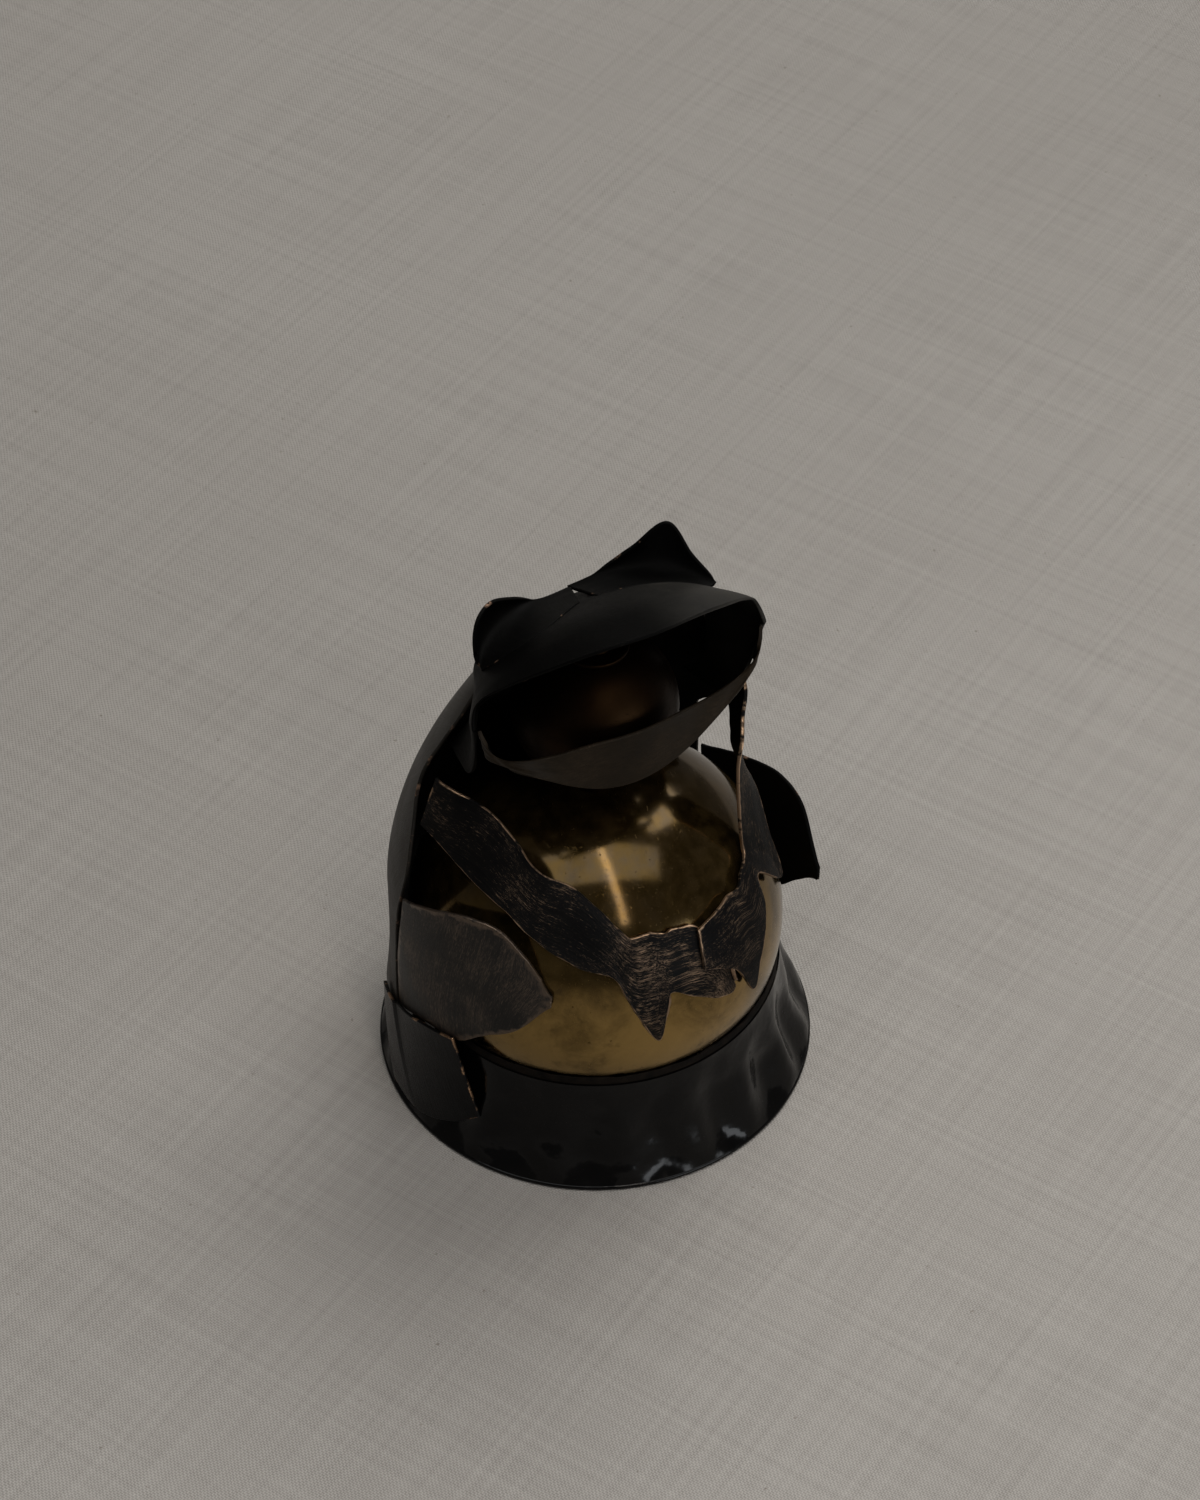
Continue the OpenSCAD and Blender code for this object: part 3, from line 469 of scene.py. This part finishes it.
def copper_material(name, dark, light, edge, scratches, rough, grain=(0.06, 1.0, 1.0), copper=(0.30, 0.19, 0.13),
                    metal=0.5, bump=0.2, shine=0.35, painted_shade=None):
    """Black-brown patina on copper: dark and light tones, and wear at the edges (width, amount).

    Scratches (near, far from the sheet's start) follow the grain. Shine is the specular level. Painted_shade (x0, x1)
    in metres paints shade that blackens the patina toward x1.
    """
    mat, tree, bsdf = new_material(name)
    w = add(tree, "ShaderNodeGroup", node_tree=wear)
    w.inputs["Edge width"].default_value, w.inputs["Edge amount"].default_value = edge
    w.inputs["Scratches"].default_value, w.inputs["Far scratches"].default_value = scratches
    w.inputs["Grain"].default_value = grain
    base = ramp(tree, w.outputs["Tone"], [(0.35, dark), (0.65, light)])
    worn = w.outputs["Copper"]
    bsdf.inputs["Specular IOR Level"].default_value = shine
    # Painted shade: colour, copper wear, specular level and metal all fall toward x1.
    if painted_shade:
        across = add(tree, "ShaderNodeSeparateXYZ", {0: add(tree, "ShaderNodeTexCoord").outputs["Object"]}).outputs[0]
        black = remap(tree, across, painted_shade[0], painted_shade[1], 0, 1)
        base = mix(tree, black, base, tuple(0.1 * c for c in dark))
        worn = math_node(tree, "MULTIPLY", worn, remap(tree, black, 0, 1, 1, 0.1))
        tree.links.new(remap(tree, black, 0, 1, shine, 0.04), bsdf.inputs["Specular IOR Level"])
        metal = remap(tree, black, 0, 1, metal, 0.1)
    tree.links.new(mix(tree, worn, base, copper), bsdf.inputs["Base Color"])
    metallic = add(tree, "ShaderNodeMapRange", {"Value": worn, "To Min": metal, "To Max": 1.0})
    tree.links.new(metallic.outputs["Result"], bsdf.inputs["Metallic"])
    r = remap(tree, w.outputs["Tone"], 0.3, 0.7, rough - 0.06, rough + 0.08)
    r = math_node(tree, "MULTIPLY_ADD", w.outputs["Copper"], -0.06, r)
    tree.links.new(r, bsdf.inputs["Roughness"])
    b = add(tree, "ShaderNodeBump", {"Strength": bump, "Distance": 0.0002, "Height": w.outputs["Height"]})
    tree.links.new(b.outputs[0], bsdf.inputs["Normal"])
    return mat


satin = copper_material("patina_satin", (0.010, 0.0092, 0.008), (0.024, 0.020, 0.016), (0.15, 0.3), (0.45, 0), 0.5,
                        shine=0.25)
inside = copper_material("patina_inside", (0.0015, 0.0014, 0.0013), (0.004, 0.0036, 0.003), (0.12, 0.3), (0, 0), 0.6,
                         metal=0.2, shine=0.06)
def back_low(z):
    """Radius at height z: BODY_R + BODY_FLARE max(0, (24 - z) / 14)^2."""
    return BODY_R + BODY_FLARE * np.maximum(0, (24 - z) / 14) ** 2


def back_s(z):
    """Share of the way from BODY_Z up to the nape."""
    return np.maximum(0, (z - BODY_Z) / (NAPE_Z - BODY_Z))


def back_w(z):
    """Half width at height z: the radius less (BODY_R - NAPE_W) s^1.67."""
    return back_low(z) - (BODY_R - NAPE_W) * back_s(z) ** 1.67


def back_pt(a, z):
    """(-w sin a, d cos a, z), a from the back, d the depth: the radius less (BODY_R - NAPE_D) s^1.42."""
    d = back_low(z) - (BODY_R - NAPE_D) * back_s(z) ** 1.42
    return stack(-back_w(z) * sind(a), np.where(cosd(a) > 0, d, back_w(z)) * cosd(a), z)


def back_right(z):
    """Angle of the right cut edge at height z, through ten knots."""
    return through([80, 78, 79, 82, 84, 80, 70, 74, 80, 83], (z - BODY_FOOT) / (NAPE_Z - BODY_FOOT))


def back_left(z):
    """Angle of the left cut edge: two smooth steps at 17 and 27 mm over the middle of the font."""
    return -59 - 11 * ease((z - BALL_Z - 17) / 6) - 12 * ease((z - BALL_Z - 27) / 9)


n, m = 110, 150
I, J = np.meshgrid(np.linspace(0, 1, n), np.linspace(0, 1, m), indexing="ij")
z0 = BODY_FOOT + (NAPE_Z - BODY_FOOT) * I
a = back_left(z0) + (back_right(z0) - back_left(z0)) * J
z = z0 + (4 * ease((np.abs(a) - 55) / 30)) * (1 - I)
back = sheet("back_folded", back_pt(a, z), 1, satin, inside, wave=0.15, seed=3)
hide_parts("back_shell")
# Crown, cheeks and upper jaw: one sheet bent over the head from cheek to cheek, its front edge the upper lip,
# brazed to the nape. Its right side is darkened with painted shade.
MOUTH_W, CORNER_Y, CORNER_Z = 20.9, 7.1, 72.85
UPPER_Y, GAPE = 15.0, 14.3
# The crown's right side, toward the right eye, is painted dark as shade.
crown = copper_material("patina_crown", (0.009, 0.0087, 0.0078), (0.030, 0.028, 0.024), (0.08, 0.12), (0.6, 0), 0.52,
                        grain=(0.6, 0.6, 1.0), copper=(0.09, 0.08, 0.065), shine=0.22, painted_shade=(0.013, -0.001))
UPPER_REACH = [0, -0.1, 0.19, 0.6, 0.9, 1, 0.9, 0.6, 0.19, -0.1, 0]
UPPER_RISE = [0, 0.24, 0.512, 0.787, 0.97, 1, 0.97, 0.787, 0.512, 0.24, 0]
SPINE = [[NAPE_D + 1.2, NAPE_Z - 0.3], [NAPE_D - 0.25 * UPPER_Y, NAPE_Z + 0.25 * GAPE],
         [-0.13 * UPPER_Y, NAPE_Z + 0.53 * GAPE], [-0.56 * UPPER_Y, NAPE_Z + 0.78 * GAPE], [-UPPER_Y, CORNER_Z + GAPE]]


def hood_pt(u, b):
    """u from the nape to the lip, b from -90 to 90 over the head: (w sin b, y + (sy - y) cy, z + (sz - z) cz).

    (y, z) runs along the cheek's edge and (sy, sz) along the spine; cy and cz go from cos b to the lip's curve by u^2.
    """
    u, b = np.broadcast_arrays(np.asarray(u, float), np.asarray(b, float))
    w = NAPE_W + 1.2 + (MOUTH_W - NAPE_W - 1.2) * ease(0.15 + 0.85 * u)
    y = 1 - (CORNER_Y + 1) * u
    z = NAPE_Z - 1.5 + (CORNER_Z - NAPE_Z + 1.5) * u
    s = through(SPINE, u)
    c = np.maximum(cosd(b), 0)
    t = (b + 90) / 180
    f = u * u
    cy = c * (1 - f) + through(UPPER_REACH, t) * f
    cz = c * (1 - f) + through(UPPER_RISE, t) * f
    return stack(w * sind(b), y + (s[..., 0] - y) * cy, z + (s[..., 1] - z) * cz)


def cheek_pt(u, side, c):
    """e (1 - c) + low c, from the hood's side edge e to the cheek's lower edge, c from 0 to 1, drawn in at the back."""
    u, c = np.broadcast_arrays(u, c)
    e = hood_pt(u, 90 * side)
    rear = 9 if side > 0 else 5.6
    drop = 19.5 - 3 * u if side > 0 else 13 + 0 * u
    low = stack(side * ((MOUTH_W - 2.6) * (1 - u) + (MOUTH_W - 0.8) * u),
                rear - (rear - 1) * (1 - c) * (1 - u) - (CORNER_Y + rear - 0.1) * u, CORNER_Z - 0.6 - drop * (1 - u ** 5))
    P = e * (1 - c[..., None]) + low * c[..., None]
    P[..., 1] -= 0.5 * rear * c * (1 - c) * (1 - u)
    return P


n, m, k = 70, 120, 24
U = np.linspace(0, 1, n)[:, None]
down = np.linspace(1, 0, k, endpoint=False)[None]
P = np.concatenate([cheek_pt(U, -1, down), hood_pt(U, np.linspace(-90, 90, m)[None]), cheek_pt(U, 1, down[:, ::-1])], axis=1)
hood = sheet("head_hood_folded", P, -1, crown, inside, wave=0.12, seed=11, cut=0.05)
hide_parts("head_hood")
# The lower jaw: a band bent round under the mouth, its ends brazed to the cheeks at the mouth's corners.
LOWER_Y, JAW_H = 12.4, 15.2
# Painted reflection: the brown tones over the patina stand for the brass font reflected in the jaw; its specular level
# is low.
jaw_patina_painted_reflection = copper_material("patina_jaw_painted_reflection", (0.010, 0.0074, 0.0048), (0.024, 0.017, 0.0105), (0.15, 0.2), (0.6, 0), 0.5,
                            grain=(1.0, 0.25, 1.0), copper=(0.07, 0.05, 0.035), metal=0.2, shine=0.08)
LOWER_REACH = [0, 0.24, 0.26, 0.47, 0.83, 1, 0.83, 0.47, 0.26, 0.24, 0]
LOWER_DROP = [0.1, 2.85, 5.9, 6.7, 5.5, 5.2, 5.5, 6.7, 5.9, 2.85, 0.1]
n, m = 30, 150
T, B = np.meshgrid(np.linspace(0, 1, n), np.linspace(-89, 89, m), indexing="ij")
t = (B + 90) / 180
c = np.maximum(cosd(B), 0)
lip = stack((MOUTH_W - 0.6) * sind(B), -CORNER_Y - (LOWER_Y - CORNER_Y) * through(LOWER_REACH, t),
            CORNER_Z - through(LOWER_DROP, t))
chin = stack((MOUTH_W - 1.6) * sind(B), -CORNER_Y - (LOWER_Y - CORNER_Y - 1.1) * c ** 0.8,
             CORNER_Z - 5.4 - (JAW_H - 5.4) * c ** 3.1)
jaw = sheet("jaw_band", lip * (1 - T[..., None]) + chin * T[..., None], -1, jaw_patina_painted_reflection, inside, wave=0.12, seed=21, cut=0.05)
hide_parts("lower_jaw")
# The eyes: cupped leaves brazed to the nape, from their rims down to the nape and forward onto the crown.
# Painted shade: the eye leaves are near black to stand for the shade in their hollows; the left haunch shares this dull
# near-black patina.
dull_and_painted_shade = copper_material("patina_dull_painted_shade", (0.0007, 0.0007, 0.0007), (0.002, 0.0019, 0.0017), (0.12, 0.25), (0.0, 0), 0.6,
                       metal=0.1, shine=0.05)
def off_hood(p, d):
    """The point p moved by d away from the middle of the mouth's line."""
    return p + d * unit(p - np.array([0, 1, CORNER_Z]))


def eye(name, side, rim, last, reach, seed):
    """A leaf top (1 - t)^2 + 2 mid t (1 - t) + low t^2, from its rim to its line on the crown."""
    n, m = 44, 70
    T, V = np.meshgrid(np.linspace(0, 1, n), np.linspace(0, 1, m), indexing="ij")
    b = 4 + (last - 4) * V
    top = through(rim, V)
    f = ((2 * V - 1) ** 2)[..., None]
    low = off_hood(hood_pt(0.34 + reach * sind(180 * V), side * b), 0.05)
    mid = off_hood(hood_pt(0.06 + 0 * b, side * b), 1.3) * (1 - f) + (top + low) / 2 * f
    t = T[..., None]
    P = top * (1 - t) ** 2 + mid * 2 * t * (1 - t) + low * t ** 2
    return sheet(name, P, -side, dull_and_painted_shade, inside, wave=0.05, seed=seed, cut=0.05)


Z = NAPE_Z
right_rim = [[1.1, 8.6, Z + 1], [-4, 7.2, Z + 2.2], [-8.2, 5.8, Z + 5], [-12, 4.2, Z + 7.4], [-14.4, 2.8, Z + 7.3],
             [-15.6, 1.8, Z + 5.6], [-16.1, 0.8, Z + 3.3]]
right_eye = eye("right_eye_leaf", -1, right_rim, 64, 0.2, 31)
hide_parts("right_eye")
left_rim = [[0.6, 8.8, Z + 1], [4.6, 7.6, Z + 2.8], [9.2, 6.8, Z + 5.5], [13.5, 5.8, Z + 8.6], [15.4, 3, Z + 4.6],
            [17.6, 0, Z + 1.3]]
left_eye = eye("left_eye_leaf", 1, left_rim, 64, 0, 32)
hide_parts("left_eye")
# The arms: strips cut with ragged edges, brazed behind the cheeks and laid round the font with a small gap, the
# left hand over the right one. They were scratched lengthwise with a wire brush.
ARM_GAP = 0.9
scraped = copper_material("patina_scraped", (0.0025, 0.0025, 0.0028), (0.008, 0.0075, 0.007), (0.3, 0.7), (0.62, 0.2),
                          0.45, grain=(0.05, 1.0, 1.0), copper=(0.36, 0.24, 0.155), metal=0.2, shine=0.05)
def ball_pts(rows):
    """(-r cos e sin a, r cos e cos a, BALL_Z + r sin e) for rows (a, e, d), r = BALL_R + d."""
    p = np.array(rows, float)
    r = BALL_R + p[:, 2]
    return stack(-r * cosd(p[:, 1]) * sind(p[:, 0]), r * cosd(p[:, 1]) * cosd(p[:, 0]), BALL_Z + r * sind(p[:, 1]))


def strip(E, F, n, m, gap):
    """E(t) (1 - v) + F(t) v between two cut edges, pushed out to BALL_R + gap from the font's middle."""
    T, V = np.meshgrid(np.linspace(0, 1, n), np.linspace(0, 1, m), indexing="ij")
    p = through(E, T) * (1 - V[..., None]) + through(F, T) * V[..., None]
    q = p - np.array([0, 0, BALL_Z])
    r = np.linalg.norm(q, axis=-1, keepdims=True)
    return np.array([0, 0, BALL_Z]) + q * np.maximum(r, BALL_R + gap) / r


right_top = np.concatenate([back_pt(np.array([83.0]), np.array([NAPE_Z - 17.1])), ball_pts([
    [92, 58, 14], [105, 60, 12.2], [119, 58, 9.6], [129, 54, 7.2], [144, 52, 4.5], [155, 46, 2.3], [161, 41, 1.4], [165, 38, 1],
    [170, 38, 1], [173, 38, 1], [178, 37, 1], [183, 37, 1], [191, 34, 1], [196, 24, 1], [197, 13, 1]])])
right_low = np.concatenate([back_pt(np.array([84.0]), np.array([NAPE_Z - 24.6])), ball_pts([
    [92, 47, 9.8], [109, 45, 7.7], [121, 42, 5.7], [133, 36, 3.2], [146, 30, 1.4], [158, 26, 1], [162, 19, 1], [166, 11, 1],
    [171, 2, 1], [174, 13, 1], [176, 18, 1], [183, 14, 1], [190, 10, 1], [196, 8, 1], [198, 10, 1]])])
right_grid = strip(right_top, right_low, 260, 40, ARM_GAP)
right_arm = sheet("right_arm_strip", right_grid, 1, scraped, inside, wave=0.12, seed=41, cut=0.25)
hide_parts("right_arm")
left_front = ball_pts([[-88, 61.5, 18.2], [-101, 60, 16.3], [-109, 59, 13.2], [-117, 58, 11.4], [-122, 56, 8.6], [-130, 48, 3.9],
                       [-134, 41, 1.6], [-138, 39, 1.6], [-143, 38, 1.6], [-148, 36, 1.6], [-154, 37, 1.6], [-160, 36, 1.6],
                       [-166, 35, 1.6], [-171, 34, 1.6]])
left_back = ball_pts([[-70, 51, 9.7], [-92, 58, 11.7], [-98, 55, 8.6], [-103, 53, 6.7], [-111, 44, 4.6], [-118, 34, 2.6],
                      [-125, 21, 1.8], [-136, 32, 1.6], [-141, 24, 1.6], [-147, 17, 1.6], [-152, 11, 1.6], [-156, 4, 1.6],
                      [-162, 16, 1.6], [-173, 22, 1.6]])
left_grid = strip(left_front, left_back, 240, 40, ARM_GAP + SHEET_T + 0.2)
left_arm = sheet("left_arm_strip", left_grid, -1, scraped, inside, wave=0.12, seed=42, edge=0.08, cut=0.1)
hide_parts("left_arm")
# The haunches: rounded leaves brazed to the back's lower edges; the right one lies on the font, the left one
# flares away from it. They were brushed up and down.
brushed = copper_material("patina_brushed", (0.012, 0.0112, 0.0105), (0.030, 0.026, 0.023), (1.1, 0.8), (0.92, 0), 0.45,
                          grain=(1.0, 0.05, 1.0), copper=(0.14, 0.105, 0.08), metal=0.3, shine=0.15)
def haunch_in(a, z):
    """Radius at angle a and height z: it falls by 2.6 s from BODY_R, s a smooth step of a, but clears the font."""
    s = ease((a - 78) / 62)
    clear = np.sqrt(np.maximum(0, BALL_R ** 2 - (z - BALL_Z) ** 2)) + ARM_GAP
    return np.maximum(BODY_R - 2.6 * s - 2 * s * np.maximum(0, z - BALL_Z) / 15, clear)


def haunch(name, side, last, upper, lower, seed):
    """(-side r sin a, r cos a, z), a from the back's cut edge to last, z from upper(t) to lower(t)."""
    n, m = 90, 60
    T, V = np.meshgrid(np.linspace(0, 1, n), np.linspace(0, 1, m), indexing="ij")
    z0 = BALL_Z + upper[0] * (1 - V) + lower[0] * V
    first = (back_right(z0) if side > 0 else -back_left(z0)) + 1.3
    a = first + (last - first) * T
    z = BALL_Z + through(upper, T) * (1 - V) + through(lower, T) * V
    r = haunch_in(a, z) if side > 0 else BODY_R - 0.3 + 4 * np.maximum(0, (a - 75) / 37) ** 2
    P = stack(-side * r * sind(a), r * cosd(a), z)
    return sheet(name, P, side, brushed if side > 0 else dull_and_painted_shade, inside, wave=0.1, seed=seed, cut=0.15)


right_haunch = haunch("right_haunch_leaf", 1, 139, [13.5, 15.6, 17.4, 18.3, 17.4, 13.6, 8.6],
                      [-9.5, -7.2, -5.6, -4.9, -1, 2.2, 7.2], 51)
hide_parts("right_haunch")
left_haunch = haunch("left_haunch_leaf", -1, 109, [8.2, 9.4, 10.8, 12.2, 12.8, 11, 2.6],
                     [-9, -9.3, -9.5, -9.3, -8, -3.4, 0.6], 52)
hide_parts("left_haunch")
# The feet: leaves brazed under the haunches and bent down onto the skirt, nearly as glossy as the enamel.
glossy = copper_material("patina_foot", (0.0025, 0.0025, 0.003), (0.006, 0.0055, 0.0055), (0.25, 0.4), (0.0, 0), 0.32,
                         copper=(0.40, 0.24, 0.14), shine=0.2)
def foot(name, side, top, toes, seed):
    """(-side r sin a, r cos a, z), a, z and r going straight from the haunch to the toes, r at most RIM_R - 0.1."""
    n, m = 46, 50
    T, V = np.meshgrid(np.linspace(0, 1, n), np.linspace(0, 1, m), indexing="ij")
    p, q = through(top, V), through(toes, V)
    a = p[..., 0] * (1 - T) + q[..., 0] * T
    z = p[..., 1] * (1 - T) + q[..., 2] * T
    on_haunch = np.maximum(haunch_in(p[..., 0], p[..., 1]), BODY_R - 1.5)
    rp = SHEET_T + 0.25 + np.where(p[..., 0] > 81, on_haunch, back_low(p[..., 1]))
    r = np.minimum(RIM_R - 0.1, rp * (1 - T) + (RIM_R - q[..., 1]) * T)
    P = stack(-side * r * sind(a), r * cosd(a), z)
    return sheet(name, P, -side, glossy, inside, wave=0.04, seed=seed, cut=0.08)


right_foot = foot("right_foot_leaf", 1, [[70, 13.5], [82, 15.4], [95, 17.8], [108, 19.3]],
                  [[84, 0.1, 2], [97, 0.1, 2], [109, 1, 4], [118, 2.2, 7]], 61)
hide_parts("right_foot")
left_foot = foot("left_foot_leaf", -1, [[59, 12.5], [66, 13.5], [74, 14.5]],
                 [[64, 0.1, 2], [74, 0.1, 2], [83, 0.6, 3]], 62)
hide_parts("left_foot")
# The floor: pale plain-weave cloth with about 16 threads to the centimetre, slubby yarn and a few dark flecks.
me = bpy.data.meshes.new("cloth_floor")
me.from_pydata([(-3, -3, 0), (3, -3, 0), (3, 3, 0), (-3, 3, 0)], [], [(0, 1, 2, 3)])
floor = bpy.data.objects.new("cloth_floor", me)
scene.collection.objects.link(floor)
mat, tree, bsdf = new_material("plain_weave")
place = add(tree, "ShaderNodeTexCoord").outputs["Object"]
turned = add(tree, "ShaderNodeMapping", {"Vector": place, "Rotation": (0, 0, math.radians(-28)), "Scale": (1, 1, 1)}).outputs[0]
pull = stretched(tree, add(tree, "ShaderNodeTexNoise", {"Vector": turned, "Scale": 260.0}).outputs["Color"], (0.0005, 0.0005, 0))
uneven = add(tree, "ShaderNodeVectorMath", {0: turned, 1: pull}, operation="ADD").outputs[0]
xyz = add(tree, "ShaderNodeSeparateXYZ", {0: uneven})
freq = 2 * math.pi / 0.000625
wx = math_node(tree, "SINE", math_node(tree, "MULTIPLY", xyz.outputs[0], freq))
wy = math_node(tree, "SINE", math_node(tree, "MULTIPLY", xyz.outputs[1], freq))
weave = math_node(tree, "MULTIPLY", wx, wy)
gaps = math_node(tree, "MULTIPLY", math_node(tree, "ABSOLUTE", wx), math_node(tree, "ABSOLUTE", wy))
along = (-math.sin(math.radians(-28)), math.cos(math.radians(28)), 0)
depth = add(tree, "ShaderNodeVectorMath", {0: place, 1: along}, operation="DOT_PRODUCT").outputs["Value"]
sharp = remap(tree, depth, -0.02, 0.10, 1.0, 0.1)
warp = noise(tree, stretched(tree, turned, (1, 0.02, 1)), 900, 3, 0.6)
weft = noise(tree, stretched(tree, turned, (0.02, 1, 1)), 900, 3, 0.6)
threads = math_node(tree, "ADD", math_node(tree, "MULTIPLY", warp, 0.5), math_node(tree, "MULTIPLY", weft, 0.5))
big = noise(tree, place, 12, 3, 0.5)
tone = math_node(tree, "MULTIPLY", remap(tree, gaps, 0.0, 0.5, -0.5, 0.3), sharp)
tone = math_node(tree, "MULTIPLY_ADD", math_node(tree, "SUBTRACT", threads, 0.5), 1.6, tone)
tone = math_node(tree, "MULTIPLY_ADD", tone, 0.2, 0.5)
col = ramp(tree, tone, [(0.3, (0.21, 0.197, 0.182)), (0.5, (0.385, 0.366, 0.345)), (0.7, (0.50, 0.48, 0.455))])
flecks = math_node(tree, "MULTIPLY", remap(tree, noise(tree, turned, 700, 2, 0.5), 0.72, 0.8), 0.6)
col = mix(tree, flecks, col, (0.14, 0.11, 0.085))
col = mix(tree, math_node(tree, "MULTIPLY", remap(tree, big, 0.35, 0.7), 0.12), col, (0.26, 0.235, 0.215))
# Painted shade: the cloth is painted up to 30 % darker toward the back, where less light falls.
away = add(tree, "ShaderNodeVectorMath", {0: place, 1: (-0.185, 0.983, 0)}, operation="DOT_PRODUCT").outputs["Value"]
col = mix(tree, remap(tree, away, -0.08, 0.12, 0.0, 0.3), col, (0.16, 0.152, 0.142))
tree.links.new(col, bsdf.inputs["Base Color"])
bsdf.inputs["Roughness"].default_value = 0.95
bsdf.inputs["Specular IOR Level"].default_value = 0.1
relief = math_node(tree, "MULTIPLY_ADD", threads, 1.5, weave)
b = add(tree, "ShaderNodeBump", {"Strength": 0.35, "Distance": 0.00015, "Height": relief})
tree.links.new(b.outputs[0], bsdf.inputs["Normal"])
me.materials.append(mat)
# The camera at the photograph's place, in millimetres: its right and up directions come from its view.
az, el = math.radians(-28), math.radians(45.3)
back_dir = np.array([math.sin(az) * math.cos(el), -math.cos(az) * math.cos(el), math.sin(el)])
right_dir = np.array([math.cos(az), math.sin(az), 0])
up_dir = np.cross(back_dir, right_dir)
eye_at = np.array([0, 0, 23.5]) + 626.67 * back_dir + 0.667 * right_dir + 21.07 * up_dir
cam_data = bpy.data.cameras.new("camera")
cam_data.lens = 112.8
cam_data.sensor_width = 36
cam_data.clip_start = 0.01
cam = bpy.data.objects.new("camera", cam_data)
scene.collection.objects.link(cam)
M = Matrix.Identity(4)
for k in range(3):
    M[k][0], M[k][1], M[k][2], M[k][3] = right_dir[k], up_dir[k], back_dir[k], eye_at[k] * 0.001
cam.matrix_world = M
scene.camera = cam
# The light: a bright window behind the lamp, a wide dim one high in front with a gap between its curtains, and
# a dim room.
def window(name, azimuth, elevation, distance, width, height, watts, color):
    """A soft lamp seen from the lamp's middle at an azimuth to the right of the camera and a height angle."""
    a, e = az + math.radians(azimuth), math.radians(elevation)
    d = np.array([math.sin(a) * math.cos(e), -math.cos(a) * math.cos(e), math.sin(e)])
    data = bpy.data.lights.new(name, "AREA")
    data.shape = "RECTANGLE"
    data.size, data.size_y, data.energy, data.color = width, height, watts, color
    ob = bpy.data.objects.new(name, data)
    scene.collection.objects.link(ob)
    z = d
    x = unit(np.cross([0, 0, 1], z))
    y = np.cross(z, x)
    W = Matrix.Identity(4)
    for k in range(3):
        W[k][0], W[k][1], W[k][2], W[k][3] = x[k], y[k], z[k], (d * distance)[k] + (0.03 if k == 2 else 0)
    ob.matrix_world = W
    return ob


def radiance(level, width, height):
    """Watts that make a lamp's face as bright as the level, where 1 is white paper in full light."""
    return level * math.pi * width * height
for name, a, e, far, w, h, level, color in (
        ("window_behind", 150, 48, 1.4, 1.2, 0.9, 3.9, (1.0, 0.98, 0.94)),
        ("window_above", 8, 74, 1.04, 1.5, 0.42, 1.9, (0.97, 0.98, 0.98)),
        ("curtain_gap", 22, 64, 0.98, 0.075, 1.1, 6.5, (1.0, 0.9, 0.8)),
        ("window_low", 45, 10, 1.3, 0.8, 0.36, 4.5, (0.92, 0.96, 1.0))):
    window(name, a, e, far, w, h, radiance(level, w, h), color)
world = bpy.data.worlds.new("room")
scene.world = world
world.use_nodes = True
bg = world.node_tree.nodes["Background"]
bg.inputs["Color"].default_value = (0.95, 0.92, 0.88, 1)
bg.inputs["Strength"].default_value = 0.1
scene.view_settings.view_transform = "Standard"
